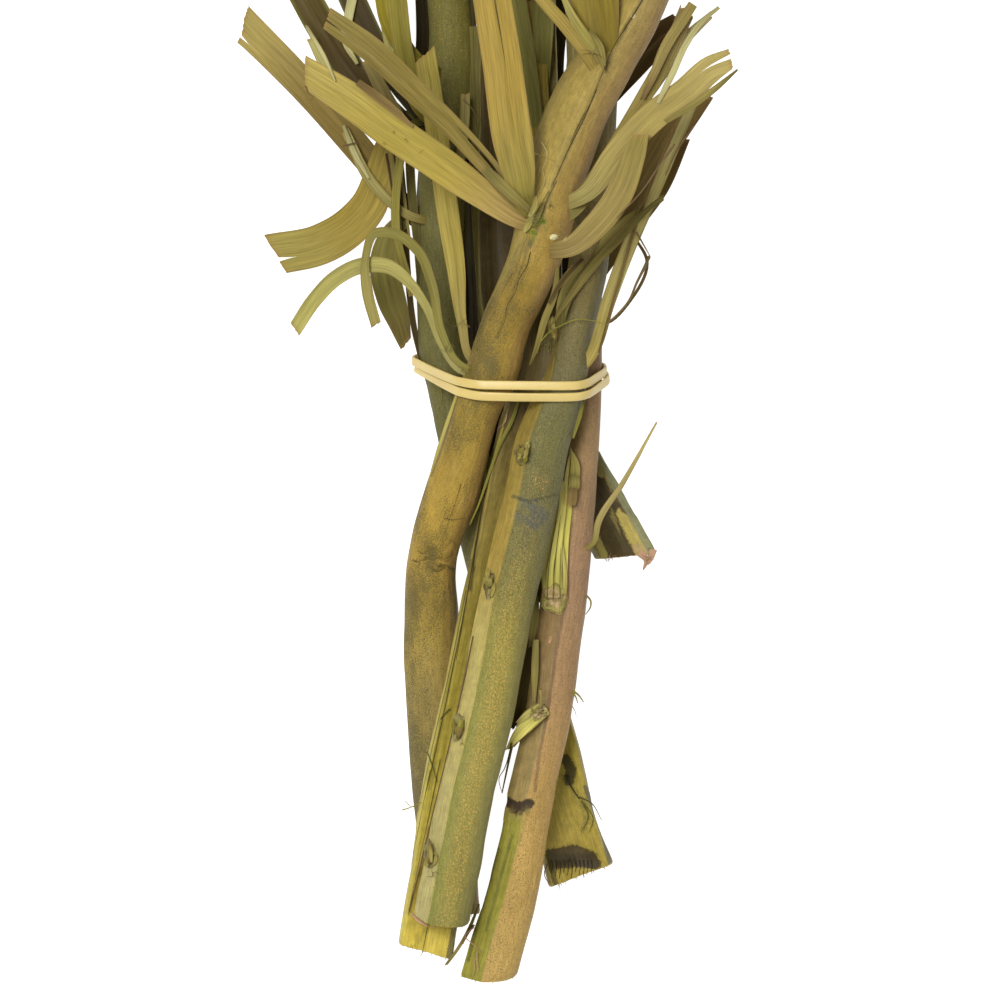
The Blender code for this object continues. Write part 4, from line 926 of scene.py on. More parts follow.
# Rings on a cut face, as shares of the outline
END_RINGS = (0.98, 0.93, 0.87, 0.8, 0.73, 0.66, 0.59, 0.52, 0.45, 0.38, 0.31, 0.24, 0.17, 0.1, 0.04)


def stalk_block(name, stem):
    """The finished surface of one stalk, with its colours."""
    grid = stalk_grid(name, stem)
    grid["points"] = carve(name, grid)
    cut = grid["points"][0]
    grid["points"][0] = cut.mean(axis=0) + (cut - cut.mean(axis=0)) * CUT_RIM
    count = len(END_RINGS)
    points = with_ends(grid["points"], END_RINGS)
    wide = lambda a: np.concatenate([np.repeat(a[:1], count, 0), a, np.repeat(a[-1:], count, 0)])
    values = {key: wide(value) for key, value in stalk_colours(name, grid).items()}
    bundles = cloud(points[:count], 0.7, 2, 9)
    pith = np.ones(points[:count].shape) * linear("#A88E62")
    values["skin"][:count] = blended(pith, "#7A6240", ease(bundles, 0.1, 0.5))
    for key in ("scurf", "fleck", "marked"):
        values[key][:count] = 0
    u = np.linspace(0, GIRTH, SIDES + 1)
    v = np.concatenate([np.zeros(count), grid["along"], np.full(count, grid["along"][-1])])
    uv = np.stack(np.meshgrid(u, v), axis=-1)
    return tube(points, uv, values)


# %% [markdown]
# ## Colours and marks of the stalks
# Cut green and air dried, each stalk went its own way: ochre, mauve, olive, or still green.
# One brown material for all would lose that. So a short table gives each stalk its colours
# along its length for its back, its flanks and its hollow face, and a second one lists the
# cracks, creases and stains that can be told apart in the photograph.

# %% Colours along each stalk
# For the back, the flanks and the hollow face: y along the bunch and a colour there.
# Then the scurf and the flecks, from 0 to 1, at y along the bunch.
STALK_LOOKS = {
    "stem_a": {"back": [(-126, "#948248"), (-60, "#927E42"), (-38, "#9C843C"), (-20, "#9E8236"),
                        (30, "#907830"), (60, "#907630"), (110, "#8A7438"), (150, "#8E7A44")],
               "flank": [(-126, "#958737"), (40, "#928036"), (70, "#8F7C3A"), (150, "#8C783A")],
               "hollow": [(-126, "#A39337"), (150, "#94843A")],
               "scurf": [(-126, 0.72), (-30, 0.66), (0, 0.62), (40, 0.6), (80, 0.45), (150, 0.3)],
               "fleck": [(-126, 0.3), (0, 0.3), (90, 0.2)]},
    "stem_b": {"back": [(-126, "#807838"), (-90, "#837A3A"), (-40, "#8A7F3A"), (-5, "#756C3E"),
                        (20, "#726C3C"), (35, "#6D6541"), (60, "#74673A"), (120, "#776535")],
               "flank": [(-126, "#9D925B"), (-40, "#A2934F"), (-20, "#957E37"), (30, "#847235"),
                         (120, "#7A6937")],
               "hollow": [(-126, "#9C8D39"), (120, "#857535")],
               "scurf": [(-126, 0.3), (-60, 0.35), (-10, 0.6), (30, 0.55), (90, 0.5)],
               "fleck": [(-126, 0.85), (-60, 0.9), (-20, 0.8), (0, 0.6), (6, 0.9), (12, 0.45),
                         (60, 0.6), (110, 0.3)]},
    "stem_c": {"back": [(-136, "#7E7838"), (120, "#6E6838")],
               "flank": [(-136, "#B3A54A"), (-60, "#A69542"), (60, "#877839")],
               # Near the tie the hollow face of stem_c turns dark brown: painted shade under the stems that
               # lie over it there.
               "hollow": [(-136, "#B9A442"), (-100, "#A6953A"), (-60, "#988834"), (-20, "#8A7A36"),
                          (5, "#766632"), (25, "#574929"), (120, "#766939")],
               "scurf": [(-136, 0.15), (100, 0.2)],
               "fleck": [(-136, 0.0), (100, 0.0)]},
    "stem_d": {"back": [(-144, "#AE9050"), (-110, "#B0904E"), (-85, "#A6864A"), (-60, "#9A7A50"),
                        (-20, "#927354"), (20, "#8E724C"), (40, "#866A48"), (120, "#7C6E43")],
               "flank": [(-144, "#857F30"), (-98, "#857F32"), (-92, "#8A7746"), (-70, "#857144"),
                         (-50, "#78623C"), (0, "#7C643E"), (120, "#7C7042")],
               "hollow": [(-144, "#7A782C"), (120, "#7A7239")],
               "scurf": [(-144, 0.42), (-80, 0.38), (-50, 0.34), (0, 0.36), (120, 0.4)],
               "fleck": [(-144, 0.6), (-90, 0.55), (-50, 0.15), (120, 0.1)]},
    "stem_e": {"back": [(-18, "#7C7C51"), (40, "#6E6C44"), (150, "#6A683D")],
               "flank": [(-18, "#8B814C"), (120, "#7D743D")],
               "hollow": [(-18, "#42371A"), (20, "#3A2E16"), (120, "#45391C")],
               "scurf": [(-18, 0.35), (120, 0.3)],
               "fleck": [(-18, 0.1), (120, 0.1)]},
    "stem_f": {"back": [(-114, "#998C4C"), (-60, "#8D8143"), (0, "#686638"), (30, "#666033"),
                        (60, "#635E2F"), (110, "#68622E"), (150, "#6C652B")],
               "flank": [(-114, "#907E42"), (0, "#696438"), (150, "#968034")],
               "hollow": [(-114, "#8F7D34"), (-70, "#8C7D2F"), (0, "#6F6C35"), (150, "#7F7435")],
               "scurf": [(-114, 0.2), (0, 0.45), (60, 0.5), (150, 0.45)],
               "fleck": [(-114, 0.0), (20, 0.3), (60, 0.35), (110, 0.6), (150, 0.7)]},
}

# Marks: route in the photograph, reach in mm, depth in mm (raised if above 0), colour, strength
MARKS = {"stem_a": [
    ([(645, 0), (611, 56), (593, 100), (568, 154), (552, 190)], 0.9, -0.35, "#5E5230", 0.4),
    ([(552, 190), (540, 226), (530, 250)], 0.9, -0.2, "#56502C", 0.5),
    ([(526, 244), (510, 272), (494, 298), (474, 334)], 2.2, -0.1, "#5E5834", 0.35),
    ([(530, 246), (515, 290), (497, 340)], 0.7, -0.20, "#4E4A26", 0.35),
    ([(424, 560), (433, 556), (444, 560), (453, 556)], 0.8, -0.45, "#7A662E", 0.4),
    ([(428, 567), (438, 571), (446, 567), (455, 570)], 0.8, -0.40, "#7A662E", 0.4),
    ([(420, 553), (430, 548), (440, 552)], 0.8, -0.30, "#80702E", 0.4),
    ([(446, 548), (452, 541), (458, 546)], 0.7, -0.30, "#7A662E", 0.4),
    ([(541, 219), (545, 234)], 1.2, 0.0, "#667020", 0.4),
    ([(531, 236), (534, 245)], 1.0, 0.0, "#6A7C22", 0.45),
    ([(454, 572), (458, 610), (457, 640)], 2.2, 0.0, "#66623C", 0.4),
], "stem_b": [
    ([(526, 505), (538, 512), (530, 522), (518, 516)], 3.4, 0.0, "#4E545A", 0.52),
    ([(538, 508), (545, 517), (534, 527)], 2.8, 0.0, "#464E5A", 0.5),
    ([(526, 534), (524, 550)], 2.4, 0.0, "#585C4E", 0.35),
    ([(512, 496), (530, 501), (558, 494)], 0.8, -0.1, "#45452C", 0.6),
    ([(478, 560), (458, 650), (448, 700)], 0.8, -0.25, "#6A5638", 0.7),
    ([(444, 745), (432, 800), (424, 836)], 0.9, -0.3, "#6A4E3E", 0.85),
    ([(421, 870), (412, 900), (406, 914)], 0.9, -0.3, "#6E5040", 0.85),
], "stem_d": [
    ([(566, 600), (556, 650), (549, 705), (540, 752), (535, 792)], 0.8, -0.2, "#6A5238", 0.6),
    ([(508, 803), (518, 808), (530, 804)], 2.4, -0.3, "#35271A", 0.98),
    ([(510, 812), (520, 815), (528, 811)], 1.4, 0.0, "#4A3C20", 0.8),
    ([(529, 812), (520, 838), (511, 862)], 1.2, 0.0, "#70702C", 0.5),
    ([(503, 824), (492, 862), (480, 910)], 0.9, -0.15, "#4E5020", 0.7),
    ([(512, 836), (500, 880), (486, 932)], 0.8, -0.12, "#5A5A26", 0.6),
    ([(499, 850), (484, 900), (468, 962)], 0.8, -0.12, "#565424", 0.6),
], "stem_c": [
    ([(472, 640), (452, 740), (424, 850), (409, 912)], 0.8, 0.4, "#664A38", 0.5),
    ([(470, 560), (450, 680), (430, 790)], 0.9, -0.25, "#5E5428", 0.3),
    ([(492, 450), (480, 520), (470, 590)], 1.2, -0.2, "#4A3E1C", 0.4),
    ([(464, 606), (436, 736), (414, 830)], 1.0, 0.3, "#948C38", 0.3),
    ([(455, 926), (449, 958)], 1.6, -0.2, "#4E4828", 0.85),
], "stem_f": [
    ([(553, 860), (575, 856), (592, 862)], 3.6, -0.6, "#382E1A", 0.92),
    ([(556, 868), (578, 866), (597, 868)], 2.8, -0.4, "#3C321C", 0.9),
    ([(566, 762), (572, 772), (570, 784)], 2.6, -0.4, "#38321A", 0.9),
    ([(576, 796), (588, 816), (584, 832)], 2.6, 0.0, "#5E582A", 0.6),
    ([(586, 790), (600, 826), (611, 866)], 1.0, -0.5, "#4E4A26", 0.8),
    ([(574, 716), (592, 772), (606, 820)], 1.0, 0.5, "#8A8440", 0.5),
    ([(549, 856), (552, 872), (556, 888)], 1.3, -0.3, "#4A441E", 0.8),
    ([(575, 742), (586, 764)], 1.8, 0.0, "#6E6A30", 0.6),
], "stem_e": [
    ([(605, 452), (613, 472), (622, 494)], 4.2, 0.2, "#8A7E44", 0.95),
    ([(599, 452), (602, 474)], 1.6, 0.1, "#7A6E38", 0.8),
    ([(625, 514), (634, 532), (644, 552)], 3.8, 0.35, "#A8984E", 0.95),
    ([(640, 552), (650, 556)], 2.4, 0.3, "#A08A58", 0.9),
    ([(596, 540), (601, 550), (604, 558)], 2.6, 0.1, "#8C8240", 0.9),
    ([(620, 494), (628, 504), (636, 510)], 2.6, -0.3, "#3A2C16", 0.85),
    ([(608, 506), (616, 530), (622, 552)], 2.2, -0.2, "#443A1C", 0.6),
    ([(597, 434), (621, 484), (654, 545)], 2.6, 0.3, "#787856", 0.9),
]}

# %% Tinting a stalk
def along_table(rows, y):
    """Colours of a table read at each y."""
    table = np.stack([linear(code) for _, code in rows])
    knots = [row[0] for row in rows]
    return np.stack([np.interp(y, knots, table[:, k]) for k in range(3)], axis=-1)


def stalk_colours(name, grid):
    """Skin colour, scurf, flecks and marks at each corner, from the tables."""
    look, y, degrees = STALK_LOOKS[name], grid["y"], grid["degrees"]
    start = grid["start"][:, None]
    past_left = ease(degrees, HOLLOW_START - 2, HOLLOW_START + 2)
    right = ease(degrees, HOLLOW_END - 2, HOLLOW_END + 2)
    flank = ease(degrees, start - 1.5, start + 1.5) * (1 - past_left)
    hollow = past_left * (1 - right)
    parts = {key: along_table(look[key], y)[:, None, :] for key in ("back", "flank", "hollow")}
    share = lambda a: a[..., None]
    skin = parts["back"] * np.ones_like(share(flank))
    skin = skin * (1 - share(flank)) + parts["flank"] * share(flank)
    skin = skin * (1 - share(hollow)) + parts["hollow"] * share(hollow)
    skin = skin * (1 - share(right)) + parts["flank"] * share(right)
    scurf = np.interp(y, *np.array(look["scurf"]).T)[:, None] * (1 - 0.8 * np.maximum(flank, hollow))
    fleck = np.interp(y, *np.array(look["fleck"]).T)[:, None] * (1 - np.maximum(flank, hollow))
    # On stem_a and stem_b the right part of the section is blended towards a darker colour. This is painted
    # shade on the side turned away from the key light; on stem_a the pinkish brown is partly its own
    # colour.
    painted_right_shade = ease(grid["x"], 0.25, 1.0)
    if name == "stem_a":
        skin = blended(skin, "#8A6A4A", 0.45 * painted_right_shade)
        # Its flank darkens by up to a fifth towards the left edge of the section: painted shade.
        skin = skin * (1 - 0.2 * flank * ease(degrees, 110, 190))[..., None]
        scurf = scurf * (1 - 0.3 * ease(grid["x"], -0.3, 0.7))
        scurf = scurf * (1 + 0.9 * cloud(grid["points"] * (1, 0.5, 1), 6.0, 3, 5))
    if name == "stem_b":
        skin = blended(skin, "#5F6046", 0.35 * painted_right_shade)
        greener = ease(-y, 35, 55)[:, None] * ease(-grid["x"], 0.0, 0.5)
        skin = blended(skin, "#727634", 0.55 * greener * (1 - flank))
        fleck = fleck * (1 - ease(abs(grid["x"] - 0.2), 0.2, 0.9))
    patches = cloud(grid["points"] * (1, 0.35, 1), 7.0, 3, ord(name[-1]))
    skin = skin * (1 + 0.13 * patches)[..., None]
    mark, marked = skin.copy(), np.zeros(y.shape + (SIDES,))
    for route, reach, depth, code, strength in MARKS.get(name, []):
        near = near_route(grid["points"], route, reach) * (grid["up"] > -0.3)
        mark = blended(mark, code, strength * (near > 0))
        marked = np.maximum(marked, near * (1.0 if depth else 0.55))
    return {"skin": skin, "scurf": scurf[..., None], "fleck": fleck[..., None],
            "mark": mark, "marked": marked[..., None]}


# %% Making the six stalks
bunch = lay_bunch()
stalks = {}
for name, (stem, _) in bunch.items():
    stalks[name] = stalk_block(name, stem)
    piece(name + "_stalk", [stalks[name]], STALK_FINISH[name], name)

# %% [markdown]
# ## The leaflets
# A leaflet is a strap of papery blade with a rib and many parallel veins. A flat strip with
# a picture of veins would look like card. Here each one is a closed skin, a third of a
# millimetre thick: its veins are small ridges, its edges flutter, its root is swollen where
# it grew from the stalk, and its end is cut at a slant, with splits that run along the veins.

# %% Looks of the leaflets that can be told apart
# Colours at the root, half way and at the cut end, the slant of the cut, how far the edges
# curl up, and splits: place across, where each starts and stops, and half its opening.
# Then how dusty the blade is, how ragged its end and how thick its root, how brown the cut
# is, and the colour of the long edges, which begins at the share inner of the half width.
def look(root, middle, tip, slant=0.0, curl=0.0, splits=(), scurf=0.1, ragged=0.5, swell=1.5,
         cut=0.6, edge="#7A6238", inner=0.9):
    return {"root": root, "middle": middle, "tip": tip, "slant": slant, "curl": curl,
            "splits": splits, "scurf": scurf, "ragged": ragged, "swell": swell, "cut": cut,
            "edge": edge, "inner": inner}


LEAF_LOOKS = {
    "broad_left": look("#937C48", "#938238", "#988744", 0.6, 0.04, scurf=0.45),
    "narrow_left": look("#786739", "#756630", "#746733", 0.3, 0.1,
                        [(0.35, 0.15, 0.42, 0.45), (-0.2, 0.9, 1.0, 0.3)]),
    "split_up": look("#7E7234", "#927B36", "#948732", 0.1, 0.05, [(0.15, 0.40, 1.0, 1.0)]),
    "left_straight": look("#5E4E28", "#72602F", "#948448", 0.57, 0.05,
                          [(-0.62, 0.955, 1.0, 0.35)], ragged=0.9),
    "left_curved": look("#483B1C", "#897732", "#8C8041", 0.4, 0.06, [(-0.3, 0.92, 1.0, 0.6)]),
    "left_hanging": look("#443B1C", "#6E6630", "#665A2E", 0.7, 0.2),
    "low_up": look("#837541", "#95853E", "#92843C", 0.64, 0.03),
    "arching": look("#938A55", "#8E864A", "#9A9250", -0.5, 0.2),
    "bent": look("#7A7238", "#746C34", "#8E8448", 0.2, 0.3, ragged=1.2),
    "upright_broad": look("#675920", "#776623", "#766725", 0.0, 0.02),
    "curling": look("#857238", "#917E3D", "#968544", 0.2, 0.3),
    "right_long": look("#726936", "#85773E", "#7C6C43", -0.3, 0.1, ragged=1.4),
    "right_upper": look("#847A45", "#918145", "#9A8B51", -0.3, 0.08,
                        [(-0.25, 0.86, 1.0, 0.7)], ragged=1.2),
    "right_lower": look("#7B6A3C", "#84743E", "#7B6E35", 0.3, 0.12),
    "right_far": look("#5C4D24", "#6A592A", "#5C4724", 0.2, 0.1),
    "right_dark": look("#554721", "#5F4F27", "#6A562E", 0.4, 0.1),
    "behind_right": look("#504122", "#544324", "#5B472A", 0.2, 0.1),
    "torn_base": look("#86704A", "#B4AA50", "#A89D4E", 0.2, 0.1, ragged=1.2),
    "torn_flap": look("#A89A5C", "#A49546", "#8D8431", 0.6, 0.2, ragged=1.2),
    "loose_sliver": look("#82773D", "#958752", "#A49459", 0.0, 0.2),
    "twig": look("#66532F", "#62512C", "#715E36", 0.0, 0.0),
    "gap_slip": look("#91864B", "#9C925C", "#A49A6E", -0.3, 0.2, ragged=1.4),
    "crossing": look("#6E6533", "#796E38", "#84773D", 0.0, 0.15),
    "pale_edge": look("#918244", "#9A8D52", "#9C915B", 0.3, 0.2),
    "on_back": look("#73682D", "#85752D", "#80702C", 0.1, 0.05),
    "inner_short": look("#7E733F", "#847944", "#847944", 0.2, 0.05),
    "outer_dark_1": look("#392D15", "#42351A", "#534621", 0.3, 0.15, edge="#74743A", inner=0.7),
    "outer_dark_2": look("#2E250F", "#3A2F15", "#44361A", 0.2, 0.15, edge="#66683A", inner=0.75),
    "outer_green": look("#7E7940", "#8E874F", "#8E8756", 0.2, 0.1),
    "upper_green_1": look("#6E6523", "#857823", "#8A7C25", 0.2, 0.1),
    "upper_green_2": look("#69601F", "#746A27", "#776D2B", 0.2, 0.1),
    "thin_left_1": look("#827B44", "#9C9459", "#9C9459", 0.2, 0.0),
    "thin_left_2": look("#6E6230", "#8A8048", "#9C925C", 0.2, 0.1),
    "thin_down_1": look("#645E2C", "#7B7233", "#807536", 0.2, 0.1),
    "brown_blade": look("#5C5026", "#6E6234", "#736638", 0.2, 0.1),
}

# Colours that the other leaflets are drawn from: root, middle and end
LEAF_PALETTE = [("#71642B", "#877832", "#928237"), ("#807235", "#98883C", "#A09047"),
                ("#55481E", "#685823", "#71612A"), ("#827A46", "#958B51", "#A19660"),
                ("#433618", "#54441E", "#5D4D23"), ("#6F6B35", "#7B753A", "#837A3F")]

# %% The surface of one leaflet
BLADE_SKIN = 0.34      # thickness of the dried blade, mm
BLADE_LIFT = 0.12      # its upper face lies this far above the middle line of the layout, mm
BLADE_SAG = 0.07       # and where it lies on the table, it may lose this much of it, mm
RIB = 0.16             # height of the rib along its middle, mm
VEIN = 0.025           # and of the veins beside it, mm
COLUMNS = 21           # corners across a whole blade
ROOT_LENGTH = 5.0      # the root is swollen over this length, mm


def leaf_blocks(blade, look, seed):
    """The closed skins of one leaflet: one, or one for each strip between its splits."""
    points = np.asarray(blade["points"], float)
    chord = travelled(points)
    length = chord[-1]
    at = np.linspace(0, 1, int(np.clip(length / 1.5, 18, 80)))
    coarse = np.linspace(0, 1, len(blade["z"]))
    plan = smooth_path(points, at)[:, :2]
    half = curve(chord / length, blade["widths"], at)[:, None]
    z = curve(coarse, blade["z"], at)[:, None]
    lean = np.interp(at, coarse, blade["lean"])[:, None]
    side = across(plan)[:, None, :]
    ahead = np.stack([-side[..., 1], side[..., 0]], axis=-1)
    s = (at * length)[:, None]
    cuts = [-1.0] + sorted(c[0] for c in look["splits"]) + [1.0]
    columns = np.clip(half.max() * 8, 7, COLUMNS)
    blocks = []
    for left, right in zip(cuts[:-1], cuts[1:]):
        u = np.linspace(left, right, max(5, round(columns * (right - left) / 2)))[None, :]
        place = np.stack(np.broadcast_arrays(u * 1.6, s / 13, 0 * s * u), axis=-1)
        flutter = cloud(place, 1.0, 2, seed) * ease(s, 4, 25)
        rise = blade["fold"] * FOLD_RISE * half * (1 - abs(u)) + look["curl"] * half * u ** 2
        rise = rise + RIB * np.exp(-(u / 0.07) ** 2) * (half > 2)
        lines = np.stack([u * half * 1.1 + 0 * s, s / 60 + 0 * u, 0 * s * u + seed], axis=-1)
        rise = rise + VEIN * cloud(lines, 1.0, 2, seed) * ease(half, 1.0, 2.5)
        rise = rise + flutter * (0.2 + 0.5 * abs(u)) * np.minimum(half, 4) * 0.17
        shift = np.zeros_like(u * s)
        for where, begin, stop, opening in look["splits"]:
            t = np.clip((at[:, None] - begin) / (stop - begin), 0, 1)
            wide = t ** 1.3 if stop >= 1 else np.sin(math.pi * t) ** 0.8
            hand = 1 if left >= where else -1
            shift = shift + hand * opening * wide * np.exp(-abs(u - where) * 1.5)
            rise = rise + hand * 0.35 * opening * wide
        ragged = cloud(np.stack([u * half[-1] * 2.2, 0 * u, 0 * u + seed], axis=-1), 1.0, 3, seed)
        reach = look["slant"] * half[-1] * u + look["ragged"] * 0.7 * ragged
        reach = reach * ease(s, length - 14, length)
        top = plan[:, None, :] + side * (u * half + shift)[..., None] + ahead * reach[..., None]
        swell = look["swell"] * np.exp(-(s / ROOT_LENGTH) ** 2) * (1 - u ** 2) + 0 * u
        edge = np.clip(1.35 - abs(u) ** 6, 0.4, 1)
        thick = BLADE_SKIN * edge
        level = np.maximum(z + lean * half * u + rise, thick + swell * 0.6 - BLADE_SAG)
        over = level + BLADE_LIFT + swell * 0.6
        over = np.concatenate([top, over[..., None]], axis=-1)
        under = level + BLADE_LIFT - thick - swell * 0.6
        under = np.concatenate([top, under[..., None]], axis=-1)
        rings = np.concatenate([under, over[:, ::-1]], axis=1)
        skin, scurf = leaf_colours(look, s, u, length, seed)
        both = lambda a: np.concatenate([a, a[:, ::-1]], axis=1)
        uv = np.stack(np.broadcast_arrays(u * half + 11.0 * seed, s), axis=-1)
        uv = np.concatenate([uv, uv[:, ::-1], uv[:, :1]], axis=1)
        blocks.append(tube(rings, uv, {"skin": both(skin), "scurf": both(scurf)[..., None]}))
    return blocks


def leaf_colours(look, s, u, length, seed):
    """Colour of the blade from its root to its cut end, with paler and darker streaks."""
    share = s / length + 0 * u
    skin = linear(look["root"]) * np.ones(share.shape + (1,))
    skin = blended(skin, look["middle"], ease(share, 0.05, 0.45))
    skin = blended(skin, look["tip"], ease(share, 0.6, 1.0))
    place = np.stack([u * 9 + 0 * s, s / 26 + 0 * u, 0 * share + seed], axis=-1)
    skin = skin * (1 + 0.14 * cloud(place, 1.0, 3, seed))[..., None]
    skin = blended(skin, look["edge"], 0.7 * ease(abs(u), look["inner"], 1.0) + 0 * share)
    skin = blended(skin, "#8C6C3E", look["cut"] * ease(s, length - 1.4, length - 0.3) + 0 * u)
    scurf = look["scurf"] * (0.5 + 0.5 * cloud(place * (0.3, 1, 1), 1.0, 2, seed + 2))
    return skin, np.clip(scurf, 0, 1)


# %% Making the leaflets of each stalk
def looks_of(name, blades, draw):
    """The look of every leaflet of a stem: its own, or one drawn from the palette."""
    for number in range(len(blades)):
        if number < len(LEAFLETS[name]):
            yield LEAF_LOOKS[LEAFLETS[name][number][0]]
        else:
            root, middle, tip = LEAF_PALETTE[draw.integers(len(LEAF_PALETTE))]
            yield look(root, middle, tip, draw.uniform(-0.6, 0.6), draw.uniform(0.0, 0.2),
                       [(draw.uniform(-0.6, 0.6), 0.85, 1.0, 0.6)] if draw.random() < 0.4 else ())


LEAF_SEED = 21
leaf_draw = np.random.default_rng(LEAF_SEED)
all_leaflets = []
for name, (stem, blades) in bunch.items():
    blocks = []
    for number, (blade, chosen) in enumerate(zip(blades, looks_of(name, blades, leaf_draw))):
        blocks += leaf_blocks(blade, chosen, number + 3)
    piece(name + "_leaflets", blocks, BLADE_FINISH, name)
    all_leaflets += blocks

# %% [markdown]
# ## Torn leaflets, scars and fibres
# Below the tie the leaflets were stripped off by hand. Some left a scar with a raised rim,
# some a torn stub, and loose strips and hairs hang about. They could be modelled one by one
# in space, but then each would need its height. Here the surfaces made so far are read into
# a height map first, and every loose thing is settled on it along a line that is read in the
# photograph, as it would settle on the real bunch.

# %% The height of everything made so far
RELIEF_CELL = 0.4      # mm
RELIEF_CORNER = np.array([-95.0, -160.0])
RELIEF_SIZE = (480, 800)


class Relief:
    """The highest surface over each small cell of the table, as the camera sees it."""

    def __init__(self):
        self.top = np.zeros(RELIEF_SIZE)

    def add(self, block):
        quad = block["points"][block["quads"]]
        for a, b in np.ndindex(5, 3):
            a, b = a / 4, b / 2
            spot = ((1 - a) * (1 - b) * quad[:, 0] + a * (1 - b) * quad[:, 1]
                    + a * b * quad[:, 2] + (1 - a) * b * quad[:, 3])
            cell = np.rint((spot[:, :2] - RELIEF_CORNER) / RELIEF_CELL).astype(int)
            inside = ((cell >= 0) & (cell < RELIEF_SIZE)).all(axis=1)
            np.maximum.at(self.top, tuple(cell[inside].T), spot[inside, 2])

    def at(self, xy):
        """Height at plan points, blended between the four cells around each."""
        spot = (np.asarray(xy) - RELIEF_CORNER) / RELIEF_CELL
        low = np.clip(np.floor(spot).astype(int), 0, np.array(RELIEF_SIZE) - 2)
        t = np.clip(spot - low, 0, 1)
        i, j = low[..., 0], low[..., 1]
        near = self.top[i, j] * (1 - t[..., 0]) + self.top[i + 1, j] * t[..., 0]
        far = self.top[i, j + 1] * (1 - t[..., 0]) + self.top[i + 1, j + 1] * t[..., 0]
        return near * (1 - t[..., 1]) + far * t[..., 1]


relief = Relief()
for block in list(stalks.values()) + all_leaflets:
    relief.add(block)
print("highest point of the bunch in the photograph:", round(relief.top.max(), 1), "mm")


# %% Loose strips, settled on the bunch
STRIP_STATIONS = 48


def settled(plan, half, s, stiff):
    """Height of a stiff strip over what it lies on: it clears every high point under it."""
    u = np.linspace(-1, 1, 5)
    spots = plan[:, None] + across(plan)[:, None] * (half[:, None] * u)[..., None]
    return lifted_by_neighbours(relief.at(spots).max(axis=1), s, stiff)


def laid_blade(route, widths, chosen, lift, stiff=40.0, seed=0, level=None):
    """A torn strip of blade along points of the photograph. Lift is its extra height there,
    stiff the radius (mm) that it bends to, and a level puts it at that height above the
    table, between the stems, instead of on top of them."""
    points = np.column_stack([seen(route), np.zeros(len(route))])
    at = np.linspace(0, 1, STRIP_STATIONS)
    plan = smooth_path(points, at)[:, :2]
    chord = travelled(points)
    widths = np.interp(chord / chord[-1], np.linspace(0, 1, len(widths)), widths)
    half = curve(chord / chord[-1], widths, at)
    z = settled(plan, half, at * chord[-1], stiff) if level is None else level + 0 * at
    z = z + np.interp(at, np.linspace(0, 1, len(lift)), lift)
    blade = {"points": points, "widths": widths, "lean": 0 * at, "fold": 0.0, "z": z}
    return leaf_blocks(blade, chosen, seed)


# %% Fibres and hairs
def fibre(path, radius, code):
    """A round thread along points in space, thinner towards its end."""
    ahead = np.gradient(path, axis=0)
    ahead = ahead / np.linalg.norm(ahead, axis=1, keepdims=True)
    side = np.cross(ahead, (0.12, 0.21, 1.0))
    side = side / np.linalg.norm(side, axis=1, keepdims=True)
    up = np.cross(side, ahead)
    turn = np.linspace(0, 2 * math.pi, 6, endpoint=False)[None, :, None]
    size = radius * np.linspace(1, 0.4, len(path))[:, None, None]
    rings = path[:, None] + size * (np.cos(turn) * side[:, None] + np.sin(turn) * up[:, None])
    skin = linear(code) * (1 + 0.15 * cloud(rings, 1.5, 2, 4))[..., None]
    uv = np.stack(np.meshgrid(np.linspace(0, 6 * radius, 7), np.linspace(0, 5, len(path))), axis=-1)
    return tube(rings, uv, {"skin": skin, "scurf": np.full(rings.shape[:2] + (1,), 0.1)})


CRACK_LIFT = (0.02,)   # extra height of a crack or a raised fibre, mm
SINK = 0.3             # how steeply a thread sinks where it leaves the bunch


def thread(route, radius, code, lift=CRACK_LIFT, stiff=30.0):
    """A fibre settled on the bunch along points of the photograph. Where it leaves the bunch
    it sinks slowly instead of following the drop to the table."""
    points = np.column_stack([seen(route), np.zeros(len(route))])
    length = np.linalg.norm(np.diff(points[:, :2], axis=0), axis=1).sum()
    at = np.linspace(0, 1, int(np.clip(length / 0.7, 10, 120)))
    plan = smooth_path(points, at)[:, :2]
    s = at * length
    z = lifted_by_neighbours(relief.at(plan), s, stiff)
    z = np.maximum(z, z[0] - SINK * s) + radius * 0.7
    z = z + np.interp(at, np.linspace(0, 1, len(lift)), lift)
    return fibre(np.column_stack([plan, z]), radius, code)


SOFT = 3.0             # radius that a short hair or shred bends to over an edge, mm
HAIR = 0.09            # radius of a hair, mm


def tuft(pixel, count, length, code, seed):
    """Short curly hairs around one point of the photograph. Length is in pixels there."""
    draw = np.random.default_rng(seed)
    hairs = []
    for _ in range(count):
        way = draw.uniform(-math.pi, math.pi)
        spot = np.asarray(pixel, float) + draw.uniform(-2, 2, 2)
        route = [spot]
        for _ in range(4):
            way += draw.uniform(-0.7, 0.7)
            ahead = np.array([math.cos(way), -math.sin(way)])
            spot = spot + length / 4 * draw.uniform(0.6, 1.3) * ahead
            route.append(spot)
        hairs.append(thread(route, HAIR, code, (0.0, draw.uniform(0.3, 1.6)), SOFT))
    return hairs


